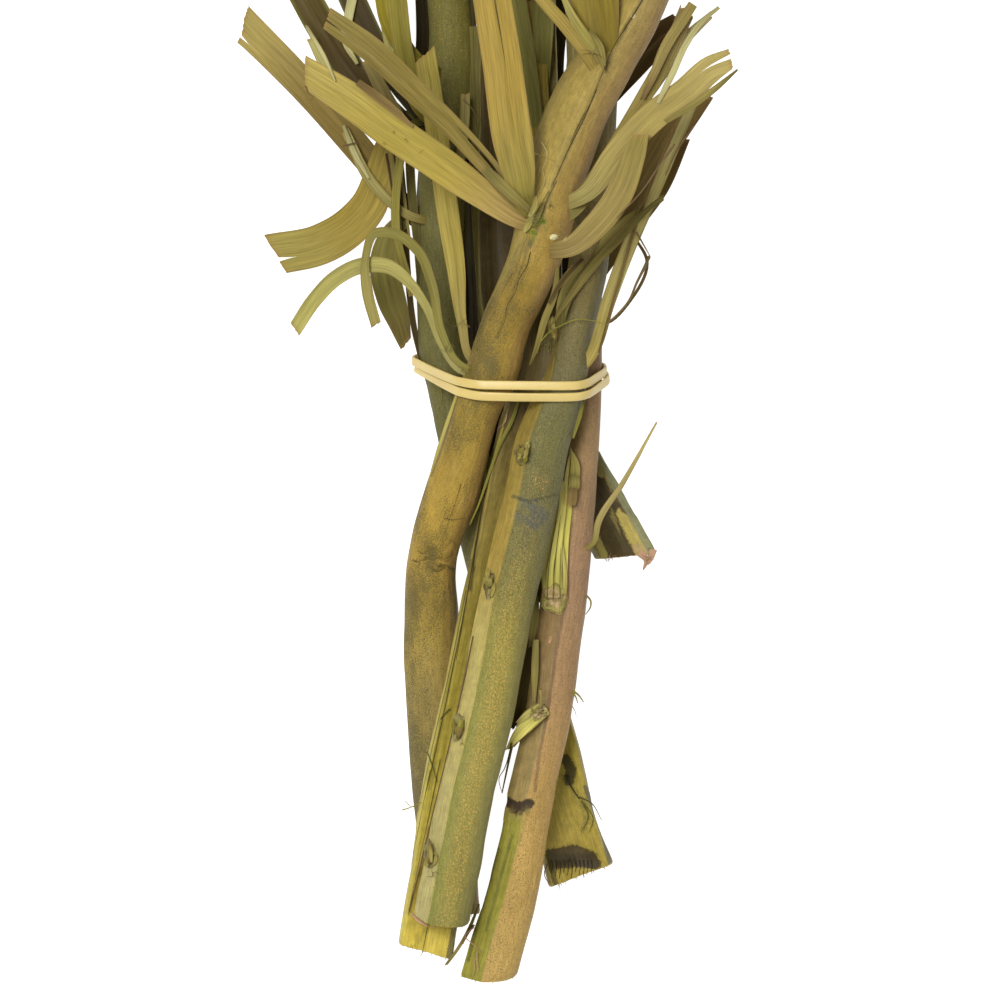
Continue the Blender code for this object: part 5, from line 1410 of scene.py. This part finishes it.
# %% Scars and torn bases
def scar(pixel, size, turn, height, codes, seed):
    """The base of a stripped leaflet: a raised rim round torn fibres. Size is its length and
    width in mm, turn its direction in degrees, and the colours are rim, fibres and cracks."""
    share = np.array([0.04, 0.15, 0.27, 0.38, 0.48, 0.58, 0.67, 0.76, 0.84, 0.91, 0.98, 1.05, 1.12])
    angle = np.linspace(0, 2 * math.pi, 44, endpoint=False)
    spin = np.stack([np.cos(angle) * 1.3, np.sin(angle) * 1.3, 0 * angle + seed], axis=-1)
    torn_edge = 0.42 if height > 0.5 else 0.12
    r = share[:, None] * (1 + torn_edge * cloud(spin, 1.0, 3, seed))[None, :]
    u, v = r * np.cos(angle) * size[0] / 2, r * np.sin(angle) * size[1] / 2
    c, s = math.cos(math.radians(turn)), math.sin(math.radians(turn))
    xy = seen(pixel) + np.stack([u * c - v * s, u * s + v * c], axis=-1)
    torn = cloud(np.stack([u * 0.5, v * 2.2, 0 * u + seed], axis=-1), 1.0, 3, seed)
    inside = 1 - ease(share, 0.55, 0.85)[:, None]
    rim = np.exp(-((share - 0.82) / 0.14) ** 2)[:, None] * (0.7 + 0.4 * cloud(spin, 0.7, 2, seed + 5))
    rim = rim * np.clip(0.5 + 0.7 * np.cos(angle - 1.0), 0.1, 1.2)
    rise = height * np.maximum(rim, inside * 0.75) + 0.75 * height * torn * inside
    rise = np.where(share[:, None] > 1.0, -0.9, rise)
    level = np.maximum(relief.at(xy), relief.at(seen(pixel)) - 1.3)
    points = np.concatenate([xy, (level + rise)[..., None]], axis=-1)
    shown = np.clip(inside + 0.8 * ease(cloud(spin, 0.6, 2, seed + 8), -0.1, 0.5), 0, 1)
    skin = blended(np.ones(u.shape + (3,)) * linear(codes[0]), codes[1], shown)
    skin = blended(skin, codes[2], inside * ease(-torn, 0.1, 0.35))
    skin = skin * (1 + 0.2 * cloud(points, 0.8, 2, seed))[..., None]
    uv = np.stack([u, v], axis=-1)
    uv = np.concatenate([uv, uv[:, :1]], axis=1)
    return tube(points, uv, {"skin": skin, "scurf": np.full(u.shape + (1,), 0.3)})


SHREDS = 9             # on each scar


def flaps(pixel, size, turn, seed):
    """Short torn shreds that stand up from a scar along its length."""
    draw = np.random.default_rng(seed)
    way = np.array([math.cos(math.radians(turn)), -math.sin(math.radians(turn))]) / PHOTO_SCALE
    square = np.array([-way[1], way[0]])
    made = []
    for _ in range(SHREDS):
        start = np.asarray(pixel) + way * size[0] * draw.uniform(-0.4, 0.1)
        start = start + square * size[1] * draw.uniform(-0.3, 0.3)
        reach = way * size[0] * draw.uniform(0.25, 0.6) + square * draw.uniform(-1.2, 1.2)
        chosen = (TORN, OLIVE, GREEN, TORN, BROWN)[draw.integers(5)]
        made += laid_blade([start, start + reach / 2, start + reach], (0.35, 0.65, 0.2), chosen,
                           (0.1, draw.uniform(0.2, 0.9)), SOFT, int(draw.integers(99)))
    return made


FRAYED = ("#A08460", "#8E7850", "#A88A6C")
FRAYED_COUNT = 26
FRAYED_BELOW = 1.8     # how far under the middle of the cut they still grow, mm


def frayed_end(name, seed):
    """Broken fibre ends that stand out of a cut end, on the side that the camera sees."""
    draw = np.random.default_rng(seed)
    block = stalks[name]["points"].reshape(-1, SIDES, 3)
    first, second = block[len(END_RINGS)], block[len(END_RINGS) + 3]
    middle = first.mean(axis=0)
    out = middle - second.mean(axis=0)
    out = out / np.linalg.norm(out)
    shown = np.flatnonzero(first[:, 2] > middle[2] - FRAYED_BELOW)
    made = []
    for _ in range(FRAYED_COUNT):
        start = first[draw.choice(shown)]
        start = start + (middle - start) * draw.uniform(0.0, 0.5)
        way = out + draw.normal(0, 0.35, 3)
        bend = draw.normal(0, 0.3, 3)
        t = np.linspace(0, 1, 6)[:, None]
        length = draw.uniform(0.4, 1.5)
        path = start - out * 0.3 + (way * t + bend * t ** 2) * length
        path[:, 2] = np.maximum(path[:, 2], 0.2)
        made.append(fibre(path, draw.uniform(0.07, 0.16), FRAYED[draw.integers(len(FRAYED))]))
    return made


# %% What can be told apart in the photograph
def torn(root, middle, tip, ragged=1.2):
    return look(root, middle, tip, ragged=ragged, swell=0.3, cut=0.0)


PALE = torn("#8E8644", "#9C924E", "#8E8448", 1.4)
CREAM = torn("#96905E", "#A49E6C", "#9C9464", 1.0)
TORN = torn("#8E8448", "#857A3C", "#766A38", 1.4)
OLIVE = torn("#625A2A", "#776C36", "#6E6230", 1.0)
BROWN = torn("#5E4C26", "#6E5A30", "#7A6438")
# A very dark brown for strips that stand for shade along edges and in gaps: painted shade.
PAINTED_SHADE_BROWN = torn("#382C10", "#40340F", "#463A18")
GREEN = torn("#5E5E1E", "#6C6822", "#767028", 0.8)
# Near black, for strips that fill the gaps between the stems: painted shade.
PAINTED_SHADE_BLACK = torn("#261F0C", "#302810", "#342C12", 1.0)
# A dark olive, partly leaf colour and partly painted shade.
OLIVE_AND_PAINTED_SHADE = torn("#453E1A", "#524A1E", "#5A5224", 1.0)
SPLINTER = torn("#A8866A", "#A8866A", "#A07A60", 1.4)
FAN = torn("#9E9648", "#B8AE5A", "#B0A45E", 1.8)
TAN = torn("#7A6C38", "#857640", "#6E5834")

# Strips: route in the photograph, half widths in mm, look and extra height in mm. Those that
# lie low beside a higher stalk also have their height above the table, in mm.
ON_D = 27.3            # on the back of stem_d
STRIPS = {"stem_a": [
    ([(457, 394), (448, 420), (438, 450), (430, 476)], (0.45, 0.55, 0.5, 0.25), PALE, (0.1,)),
    ([(557, 270), (554, 296), (544, 322), (537, 346), (530, 366)],
     (0.4, 1.0, 1.1, 0.8, 0.3), OLIVE, (0.1,)),
    ([(486, 176), (500, 190), (514, 203), (529, 216)], (1.4, 1.7, 1.5, 1.0), OLIVE, (0.5,)),
    ([(524, 236), (530, 226), (536, 216)], (0.5, 1.2, 0.5), TORN, (0.3,)),
    ([(533, 232), (537, 220), (543, 208)], (0.6, 1.0, 0.3), OLIVE, (0.3,)),
    ([(529, 222), (534, 212), (535, 202)], (0.6, 0.9, 0.3), TORN, (0.5,)),
    ([(662, 198), (640, 218), (616, 243), (598, 261), (574, 292), (552, 325)],
     (0.3, 1.1, 1.3, 1.3, 1.0, 0.4), OLIVE, (1.6, 0.8, 0.2)),
    # A dark strip along the right edge of stem_a: a painted shadow line.
    ([(582, 262), (568, 276), (556, 292), (548, 306)], (0.5, 0.9, 0.7, 0.3), PAINTED_SHADE_BROWN, (0.1,)),
    ([(716, 14), (700, 28), (684, 50), (668, 84), (655, 110)],
     (0.5, 0.8, 1.0, 1.0, 0.6), CREAM, (1.2, 0.4)),
    ([(690, 12), (678, 30), (664, 52), (650, 84), (640, 106)],
     (1.4, 1.7, 1.6, 1.2, 0.6), TAN, (0.8, 0.3)),
    ([(733, 78), (712, 96), (690, 112), (664, 128)], (0.3, 0.9, 1.1, 0.7), OLIVE, (0.6, 0.3)),
    ([(560, 2), (570, 24), (584, 46), (596, 62), (603, 80)],
     (0.6, 1.2, 1.6, 1.5, 0.3), TORN, (0.8, 0.4)),
    ([(588, 40), (598, 56), (603, 74)], (0.4, 1.1, 0.3), OLIVE, (1.0, 0.5)),
], "stem_b": [
    ([(519, 398), (513, 418), (500, 444), (489, 474), (478, 506), (470, 524)],
     (0.5, 0.55, 0.5, 0.4, 0.3, 0.15), GREEN, (0.3,)),
    ([(528, 444), (525, 452), (520, 460)], (0.7, 0.9, 0.4), TORN, (1.2, 0.4)),
    ([(411, 913), (418, 920), (428, 926)], (0.3, 0.5, 0.3), SPLINTER, (0.05,)),
    ([(598, 354), (610, 310), (624, 262), (636, 224), (654, 176), (674, 128)],
     (0.3, 0.4, 0.45, 0.5, 0.45, 0.3), BROWN, (0.2,)),
], "stem_d": [
    ([(546, 594), (544, 574), (550, 542), (558, 512), (561, 494)],
     (0.9, 0.8, 0.7, 0.5, 0.4), PALE, (0.7, 0.4, 0.3), ON_D),
    ([(551, 598), (550, 574), (555, 542), (561, 508), (563, 480)],
     (1.3, 1.0, 0.8, 0.7, 0.6), FAN, (1.3, 0.8, 0.7), ON_D),
    ([(558, 598), (558, 574), (560, 542), (564, 506), (567, 474), (571, 450)],
     (1.4, 1.1, 0.8, 0.8, 0.6, 0.2), FAN, (1.0, 0.6, 0.5), ON_D),
    ([(564, 594), (565, 574), (563, 550), (561, 530)], (0.8, 0.7, 0.4, 0.2), PALE, (0.8, 0.4, 0.1), ON_D),
    ([(571, 450), (575, 464), (575, 480)], (0.2, 1.3, 1.7), TORN, (0.9, 0.6, 0.4)),
    ([(574, 476), (575, 484), (574, 490)], (1.6, 1.6, 1.3), OLIVE, (0.7,)),
    ([(573, 488), (572, 498), (571, 506)], (1.3, 1.6, 1.1), BROWN, (0.5,)),
    ([(584, 400), (579, 418), (573, 438)], (0.3, 0.6, 0.3), GREEN, (0.1,)),
    ([(543, 712), (530, 722), (518, 735), (507, 750)], (1.8, 2.2, 1.6, 0.4), FAN, (0.7, 0.5, 0.3), ON_D),
    ([(540, 706), (528, 714), (517, 724)], (0.9, 1.1, 0.6), PALE, (1.3, 1.0, 0.8), ON_D),
    ([(479, 906), (470, 928), (459, 948), (446, 966)], (0.3, 0.5, 0.5, 0.4), OLIVE, (0.4, 0.2)),
    ([(474, 926), (468, 934), (462, 946)], (0.3, 0.4, 0.2), BROWN, (0.6, 0.3)),
], "stem_e": [
    ([(641, 553), (648, 561), (645, 571)], (1.2, 0.9, 0.3), SPLINTER, (0.1,)),
    ([(655, 550), (652, 560), (649, 566)], (1.2, 1.0, 0.3), SPLINTER, (0.1,)),
], "stem_f": [
    ([(338, 88), (326, 62), (309, 33)], (0.3, 0.7, 0.5), CREAM, (0.5,)),
    ([(342, 122), (352, 148), (368, 176)], (0.5, 0.9, 0.4), CREAM, (0.1,), 14.2),
    # The dark one of these two strips below the leaflets of stem_f is painted shade.
    ([(385, 150), (392, 190), (398, 240)], (0.4, 0.5, 0.3), PAINTED_SHADE_BROWN, (0.1,), 12.6),
    ([(400, 160), (404, 200), (410, 245)], (0.4, 0.5, 0.3), OLIVE, (0.1,), 12.6),
    ([(360, 89), (380, 104), (400, 120), (415, 134)], (1.0, 1.3, 1.1, 0.4), BROWN, (1.0, 0.5)),
]}

# Threads: route in the photograph, radius in mm, colour, extra height in mm. Those without
# one are cracks and raised fibres, which only just show above the skin.
THREADS = {"stem_a": [
    ([(541, 148), (546, 158), (545, 168), (542, 174), (544, 186), (537, 200)],
     0.11, "#A89E6C", (1.6, 0.4)),
    ([(461, 484), (455, 503), (449, 520), (444, 536), (438, 552)], 0.09, "#54451F"),
    ([(444, 518), (452, 520), (458, 519), (468, 518)], 0.11, "#4C4628"),
    ([(421, 561), (427, 558), (433, 560), (439, 557), (446, 560)], 0.13, "#6E5B29"),
    ([(430, 569), (437, 572), (443, 569), (450, 571)], 0.13, "#665426"),
    ([(417, 551), (423, 554), (428, 551), (435, 553)], 0.11, "#6E5B29"),
    ([(426, 546), (432, 549), (437, 546)], 0.1, "#76622C"),
    ([(445, 562), (451, 558), (457, 549), (459, 541)], 0.13, "#6A5728"),
    ([(433, 564), (439, 566), (445, 564)], 0.1, "#6E5B29"),
    ([(530, 256), (526, 270), (519, 282), (515, 296), (507, 308), (505, 322), (497, 338)], 0.12, "#3E3A1C"),
    ([(645, 0), (628, 28), (611, 56), (601, 80), (593, 100)], 0.16, "#3E361C", (-0.02,)),
    ([(595, 96), (583, 124), (568, 154), (552, 190)], 0.16, "#3E361C", (-0.02,)),
    ([(590, 108), (578, 130), (570, 146)], 0.1, "#544A28"),
    ([(548, 196), (538, 214), (528, 238), (520, 256)], 0.12, "#4E4824"),
    ([(556, 186), (546, 206), (541, 222)], 0.1, "#544C28"),
    ([(512, 276), (500, 300), (491, 322)], 0.1, "#5A5228"),
    ([(534, 160), (544, 164), (554, 168)], 0.1, "#7A6236", (0.8, 0.3)),
    ([(635, 234), (642, 246), (649, 258)], 0.34, "#6E5C38", (0.4,)),
    ([(649, 257), (645, 266), (636, 284), (628, 302), (618, 314), (607, 324)], 0.5, "#6A5A36", (0.4,)),
    ([(405, 802), (412, 808), (420, 803)], 0.14, "#8C8436", (0.3,)),
    ([(402, 811), (411, 808), (421, 803)], 0.22, "#8C8436", (0.3,)),
    ([(503, 412), (500, 420), (497, 431)], 0.22, "#A88468", (0.4,)),
    ([(507, 414), (505, 422), (498, 428)], 0.16, "#B09074", (0.6,)),
    ([(672, 150), (656, 172), (640, 196), (614, 224)], 0.35, "#6A5636", (0.3,)),
    ([(692, 128), (676, 152), (664, 178)], 0.3, "#7A6240", (0.3,)),
], "stem_b": [
    ([(540, 343), (548, 334), (560, 327), (575, 321), (592, 322), (607, 326)],
     0.17, "#8E8A2E", (0.5, 0.9, 0.4)),
    ([(537, 354), (541, 344), (548, 340)], 0.13, "#8E8A2E", (0.4,)),
    ([(545, 350), (552, 352), (558, 362)], 0.12, "#5E5A2A", (0.3,)),
    ([(450, 709), (445, 714), (440, 720)], 0.2, "#4A4A20", (0.2,)),
    ([(427, 752), (432, 766), (437, 783)], 0.2, "#4E5422", (0.4,)),
    ([(430, 749), (420, 741), (411, 744)], 0.12, "#8C8A3A", (0.4,)),
    ([(475, 566), (472, 576), (471, 586)], 0.12, "#6A5A38", (0.2,)),
], "stem_c": [
    ([(473, 636), (462, 690), (450, 742), (436, 800), (424, 850), (409, 912)], 0.2, "#5E4632", (0.1,)),
    ([(476, 540), (466, 600), (452, 672), (438, 740), (424, 800)], 0.14, "#4A4220"),
    ([(466, 590), (452, 660), (436, 730), (418, 812)], 0.12, "#5A4E22"),
    ([(486, 470), (478, 530), (468, 590), (456, 660)], 0.16, "#40361A"),
    ([(493, 446), (486, 486), (479, 526), (470, 590)], 0.2, "#3A3016"),
    ([(440, 760), (428, 820), (415, 880), (408, 916)], 0.12, "#605828"),
    ([(428, 924), (425, 940), (422, 954)], 0.14, "#4E4C20"),
    ([(424, 930), (418, 944), (410, 948)], 0.08, "#8A8236"),
    ([(430, 770), (420, 820), (408, 880)], 0.1, "#6A622C"),
], "stem_d": [
    ([(547, 600), (548, 575), (552, 545), (557, 520)], 0.14, "#5E5C22", (0.1,)),
    ([(553, 602), (554, 575), (557, 545), (561, 515)], 0.14, "#5E5C22", (0.1,)),
    ([(560, 602), (560, 576), (561, 548)], 0.14, "#66622A", (0.1,)),
    ([(474, 928), (465, 937), (473, 945), (481, 953)], 0.2, "#B0886C", (0.8,)),
    ([(477, 953), (477, 962), (479, 971)], 0.2, "#B0886C", (0.6,)),
    ([(474, 961), (475, 972), (471, 981)], 0.18, "#A87E60", (0.5,)),
    ([(587, 596), (591, 601), (591, 607), (586, 615)], 0.34, "#7A6A34", (0.3,)),
    ([(512, 746), (507, 770), (502, 794)], 0.42, "#4A3E22", (0.2,)),
    ([(512, 743), (504, 770), (499, 779), (500, 787), (502, 793)], 0.2, "#4A3E22", (0.2,)),
    ([(574, 692), (579, 696), (584, 703)], 0.38, "#7C7A2C", (0.4,)),
    ([(574, 694), (577, 700), (578, 704)], 0.3, "#7C7A2C", (0.4,)),
    ([(573, 708), (576, 714), (577, 719)], 0.12, "#8A7A4C", (0.3,)),
    ([(540, 690), (541, 697), (540, 706)], 0.45, "#8E7E4A", (1.6, 0.6)),
], "stem_f": [
    ([(341, 143), (349, 141), (358, 138)], 0.3, "#6A5636", (0.6,)),
    ([(308, 92), (312, 100), (317, 103), (313, 106)], 0.2, "#6A5030", (0.5,)),
    ([(566, 778), (572, 790), (580, 802)], 0.35, "#2E2A14", (0.2,)),
    ([(580, 800), (592, 806), (603, 824)], 0.22, "#4A4A20", (0.3,)),
    ([(582, 804), (589, 820), (582, 836)], 0.2, "#5A5A24", (0.3,)),
    ([(584, 806), (594, 822), (590, 836)], 0.18, "#55561F", (0.3,)),
    ([(548, 868), (545, 876), (547, 884), (552, 887)], 0.2, "#6A5448", (0.3,)),
    ([(440, 388), (441, 398), (435, 410)], 0.12, "#8C8A3A", (0.5,)),
    ([(463, 96), (470, 103), (478, 118)], 0.22, "#6A5A38", (0.6,)),
]}

# A row of dark fibres in turn longer and shorter, side by side above the cut end of stem_f
THREADS["stem_f"] += [([(x, 864), (x + 1, 871), (x, 877 + 3 * (k % 3))], 0.16, "#332B16")
                      for k, x in enumerate(range(552, 596, 4))]

# Scars: place in the photograph, length and width in mm, direction, height, rim, fibres, cracks
SCARS = {"stem_b": [
    ((521, 455), (6.2, 3.4), 84, 1.1, ("#6E6236", "#857A44", "#6A5E34")),
    ((489, 585), (7.8, 3.7), 84, 1.4, ("#5E5230", "#8E844E", "#665A34")),
    ((458, 727), (8.0, 3.4), 82, 1.5, ("#746A3E", "#8A824A", "#665A36")),
    ((431, 856), (8.4, 4.0), 84, 1.6, ("#706840", "#8A8448", "#625C34")),
    ((552, 332), (8.0, 2.6), 100, 1.0, ("#6E6838", "#857E46", "#5A5430")),
    ((550, 640), (2.4, 1.2), 80, 0.15, ("#A87E60", "#B08A68", "#8A6A4C")),
], "stem_d": [
    ((555, 598), (8.4, 7.6), 8, 0.9, ("#8E8444", "#A08A60", "#8A764A")),
    ((540, 713), (5.6, 4.6), 20, 1.5, ("#8E8648", "#AC986C", "#8A784E")),
], "stem_a": [
    ((553, 241), (2.7, 1.7), 10, 0.3, ("#C4B888", "#C9BE8C", "#B4A878")),
    ((564, 243), (1.3, 0.7), 60, 0.3, ("#B8AC7C", "#BEB384", "#A89C6C")),
    ((631, 24), (1.6, 1.2), 40, 0.3, ("#A89C72", "#B0A478", "#9A8E66")),
]}

# Tufts of short hairs: place in the photograph, how many, length in pixels, colour
TUFTS = {
    "stem_a": [((531, 236), 16, 3, "#7CA026"), ((542, 226), 16, 3, "#729022"),
               ((536, 230), 8, 3, "#7A8E34"), ((530, 222), 9, 9, "#8C8450"),
               ((548, 212), 6, 7, "#7C7240"), ((590, 62), 8, 12, "#6E6034"),
               ((462, 368), 5, 8, "#8E8448"), ((442, 566), 6, 6, "#6E6034"),
               ((414, 560), 5, 5, "#6E6034")],
    "stem_b": [((550, 345), 8, 10, "#8A8240"), ((521, 446), 4, 6, "#7C7240"),
               ((433, 872), 5, 8, "#6E6A30"), ((462, 742), 4, 5, "#8A8240")],
    "stem_d": [((545, 604), 8, 7, "#7E7A30"), ((566, 604), 5, 6, "#8E8648"),
               ((532, 712), 7, 8, "#8A8448"), ((540, 690), 4, 6, "#9A8E5A"),
               ((516, 812), 5, 4, "#4E4426")],
    "stem_f": [((394, 138), 3, 2, "#A09248"), ((408, 146), 4, 2, "#9C8E46"),
               ((423, 158), 3, 2, "#A09248"), ((386, 150), 3, 2, "#9C8E46"),
               ((463, 324), 7, 9, "#8E8448"), ((448, 352), 5, 9, "#7A7040"),
               ((574, 866), 8, 8, "#3E3820"), ((568, 780), 6, 9, "#3A3A18")],
    "stem_e": [((648, 560), 9, 7, "#A8866A"), ((612, 558), 6, 5, "#A08060")],
}

# Strips that lie deep between the stems: route, half widths in mm, look, height above the table.
# Most have the darkest looks and stand for the shade in the gaps between the stems: painted shade.
DEEP = {"stem_e": [
    ([(506, 392), (499, 430), (488, 470), (478, 510)], (3.6, 3.6, 2.6, 1.4), PAINTED_SHADE_BLACK, 11.0),
    ([(474, 360), (472, 300), (470, 230), (468, 150), (466, 60), (464, -40)],
     (2.6, 3.4, 3.6, 3.6, 3.4, 3.0), PAINTED_SHADE_BLACK, 7.0),
    ([(486, 340), (484, 280), (480, 200), (476, 120), (472, 20)],
     (2.0, 2.6, 2.8, 2.6, 2.0), OLIVE_AND_PAINTED_SHADE, 9.0),
    ([(556, 380), (560, 320), (562, 250), (566, 180), (574, 100), (580, 10)],
     (2.6, 3.6, 3.8, 3.4, 3.0, 2.6), PAINTED_SHADE_BLACK, 9.0),
    ([(560, 170), (561, 110), (558, 70), (562, 0), (564, -60)], (2.2, 2.6, 1.8, 2.4, 2.4), PAINTED_SHADE_BLACK, 8.0),
], "stem_f": [
    ([(424, 150), (420, 90), (424, 30), (420, -50)], (1.6, 2.6, 2.8, 2.4), PAINTED_SHADE_BLACK, 5.0),
    ([(421, 362), (412, 320), (406, 262), (402, 200), (397, 140)], (0.8, 1.0, 1.0, 1.3, 1.0), PAINTED_SHADE_BROWN, 9.0),
    ([(419, 300), (416, 240), (410, 180), (408, 120)], (0.5, 1.1, 1.4, 1.4), OLIVE_AND_PAINTED_SHADE, 11.0),
    ([(400, 250), (396, 200), (390, 150)], (0.5, 0.8, 0.6), OLIVE, 14.0),
    ([(356, 60), (344, 36), (347, 14), (354, -20)], (0.5, 1.2, 1.5, 1.5), CREAM, 15.2),
], "stem_d": [
    ([(547, 536), (542, 568), (538, 602)], (1.0, 1.5, 1.7), OLIVE_AND_PAINTED_SHADE, 21.0),
    ([(535, 596), (534, 620), (531, 646)], (1.3, 1.5, 0.6), OLIVE, 24.0),
    ([(536, 640), (535, 668), (534, 702)], (0.9, 1.1, 0.5), TORN, 26.0),
    ([(530, 636), (527, 670), (521, 706), (512, 730)], (1.4, 2.0, 1.8, 0.6), PAINTED_SHADE_BROWN, 22.0),
]}

# %% Making them
BITS_SEED = 8
swatch = np.random.default_rng(BITS_SEED)
for name in STEMS:
    blocks = []
    for route, widths, chosen, level in DEEP.get(name, []):
        blocks += laid_blade(route, widths, chosen, (0.0, 0.6, 0.0),
                             seed=int(swatch.integers(2, 90)), level=level)
    for route, widths, chosen, lift, *level in STRIPS.get(name, []):
        made = laid_blade(route, widths, chosen, lift, seed=int(swatch.integers(2, 90)),
                          level=level[0] if level else None)
        for block in made:
            relief.add(block)
        blocks += made
    for number, (pixel, size, turn, height, codes) in enumerate(SCARS.get(name, [])):
        blocks.append(scar(pixel, size, turn, height, codes, number + 2))
        relief.add(blocks[-1])
        if name == "stem_b" and height > 0.5:
            blocks += flaps(pixel, size, turn, number + 5)
    blocks += [thread(*row) for row in THREADS.get(name, [])]
    for pixel, count, length, code in TUFTS.get(name, []):
        blocks += tuft(pixel, count, length, code, int(swatch.integers(99)))
    blocks += frayed_end(name, len(blocks))
    piece(name + "_torn_bits", blocks, BLADE_FINISH, name)

# %% [markdown]
# ## The rubber band
# The band is one loop of latex, stretched round the bunch twice. A torus would sink into the
# stalks or float over them. It is a strip with rounded edges, carried along the line that a
# tight string takes round the stalks, and it twists once where the florist crossed it over.

# %% The line of a tight string round the bunch
BAND_RINGS = 360
BAND_CORNERS = 16
BAND_LEVEL = 37.0      # height at which the leaning band is at its front line, mm
BAND_SHIFT = 0.5       # and how far up the bunch it has slipped from there, mm
BAND_AIR = 0.35        # between the stalks and the band, mm
BAND_CLIMB = 0.6       # share of its thickness by which one turn climbs over the other


def outline_near_band():
    """Corners of the stalks that lie in the band's slab."""
    near = []
    for block in stalks.values():
        points = block["points"]
        plane = BAND_FRONT_Y + BAND_TILT * (BAND_LEVEL - points[:, 2])
        near.append(points[abs(points[:, 1] - plane) < BAND_SPREAD + BAND_WIDTH])
    return np.concatenate(near)


def band_rings():
    """The band's rings: a rounded strip carried twice round the convex outline."""
    near = outline_near_band()
    middle = np.array([(near[:, 0].min() + near[:, 0].max()) / 2, near[:, 2].max() / 2])
    facing = np.linspace(0, 2 * math.pi, 361)
    facing_way = np.stack([np.cos(facing), np.sin(facing)], axis=1)
    support = (near[:, [0, 2]] @ facing_way.T).max(axis=0) - facing_way @ middle
    turn = np.linspace(0, 4 * math.pi, BAND_RINGS, endpoint=False) - math.pi / 2
    ray = np.stack([np.cos(turn), np.sin(turn)], axis=1)
    ahead = ray @ facing_way.T
    reach = np.where(ahead > 0.05, support / np.maximum(ahead, 0.05), np.inf).min(axis=1)
    phase = (turn + math.pi / 2) / 2
    reach = reach + BAND_AIR + BAND_THICKNESS * (0.5 + BAND_CLIMB * (1 - np.cos(phase)))
    x, z = middle[0] + reach * ray[:, 0], middle[1] + reach * ray[:, 1]
    y = BAND_FRONT_Y + BAND_SHIFT + BAND_TILT * (BAND_LEVEL - z) + BAND_SPREAD * np.sin(phase)
    centre = np.stack([x, y, z], axis=1)
    around = np.linspace(0, 2 * math.pi, BAND_CORNERS, endpoint=False)
    wide = np.sign(np.cos(around)) * abs(np.cos(around)) ** 0.45 * BAND_WIDTH / 2
    thick = np.sign(np.sin(around)) * abs(np.sin(around)) ** 0.6 * BAND_THICKNESS / 2
    twist = 0.5 * np.sin(3 * phase + 0.6) * (np.sin(phase) < 0)
    c, s = np.cos(twist)[:, None], np.sin(twist)[:, None]
    off_wide, off_thick = wide * c - thick * s, wide * s + thick * c
    outward = np.stack([ray[:, 0], 0 * x, ray[:, 1]], axis=1)
    points = (centre[:, None] + off_wide[..., None] * np.array([0.0, 1.0, 0.0])
              + off_thick[..., None] * outward[:, None])
    return points


def loop_block(points):
    """A tube that closes on itself, as quads from each ring to the next and last to first."""
    rings, corners = points.shape[:2]
    i, j = np.meshgrid(np.arange(rings), np.arange(corners), indexing="ij")
    i, j = i.ravel(), j.ravel()
    step = np.array([(0, 0), (0, 1), (1, 1), (1, 0)])
    quads = ((i[:, None] + step[:, 0]) % rings) * corners + (j[:, None] + step[:, 1]) % corners
    return {"points": points.reshape(-1, 3), "quads": quads,
            "uv": np.zeros(quads.shape + (2,)), "values": {"skin": np.ones((rings * corners, 3))}}


piece("rubber_band_loop", [loop_block(band_rings())], LATEX_FINISH, "rubber_band")

# %% [markdown]
# ## The table, the light and the camera
# The photograph was taken from the front, with the bunch held upright before a white wall.
# Here it lies down, so the camera looks straight down on it from the same side and far away,
# which keeps the flat look of a long lens. A plain white table would catch the shadow of the
# bunch. So it lies on a sheet of opal acrylic that is lit from within and stays as even and
# white as that wall, with large soft lights round it.

# %% The stage
def floor():
    """A lit sheet of opal acrylic, wide enough to fill every view from above."""
    finish, _, shader = new_finish("opal_light_table", 0.9, 1.45, 0.1)
    shader.inputs["Base Color"].default_value = shade("#A8A8A8")
    shader.inputs["Emission Color"].default_value = shade("#FFFFFF")
    shader.inputs["Emission Strength"].default_value = 0.96
    mesh = bpy.data.meshes.new("table")
    half = 3.0     # m
    corners = [(-half, -half, 0), (half, -half, 0), (half, half, 0), (-half, half, 0)]
    mesh.from_pydata(corners, [], [(0, 1, 2, 3)])
    mesh.materials.append(finish)
    made = placed("table", mesh)


def soft_light(name, place, size, power, target):
    """A round soft box in metres and watts, turned towards its target."""
    data = bpy.data.lights.new(name, "AREA")
    data.shape = "DISK"
    data.size = size
    data.energy = power
    lamp = placed(name, data)
    lamp.location = place
    lamp.rotation_euler = (Vector(target) - Vector(place)).to_track_quat("-Z", "Y").to_euler()


VIEW_X, VIEW_Y = -CENTRE[0] * MM, -CENTRE[1] * MM     # the middle of the photograph
VIEW_HEIGHT = 30.0 * MM                               # the level that is seen at true scale
LENS, SENSOR = 200.0, 36.0
floor()
middle = (VIEW_X, VIEW_Y, 0.02)
soft_light("key", (-0.45, 0.15, 1.3), 0.7, 21.0, middle)
soft_light("fill", (0.8, -0.3, 1.0), 1.0, 4.0, middle)
soft_light("low", (-0.1, -1.1, 0.8), 0.8, 2.5, middle)
world = bpy.data.worlds.new("studio")
world.use_nodes = True
world.node_tree.nodes["Background"].inputs["Color"].default_value = shade("#FFFFFF")
world.node_tree.nodes["Background"].inputs["Strength"].default_value = 0.27
bpy.context.scene.world = world
camera_data = bpy.data.cameras.new("camera")
camera_data.lens = LENS
camera_data.sensor_width = SENSOR
camera_data.clip_end = 10.0
camera = placed("camera", camera_data)
frame_width = 2 * PHOTO_MIDDLE * PHOTO_SCALE * MM
camera.location = (VIEW_X, VIEW_Y, VIEW_HEIGHT + frame_width / 2 / (SENSOR / 2 / LENS))
bpy.context.scene.camera = camera
bpy.context.scene.view_settings.view_transform = "Standard"
print("camera height:", round(camera.location.z, 3), "m")
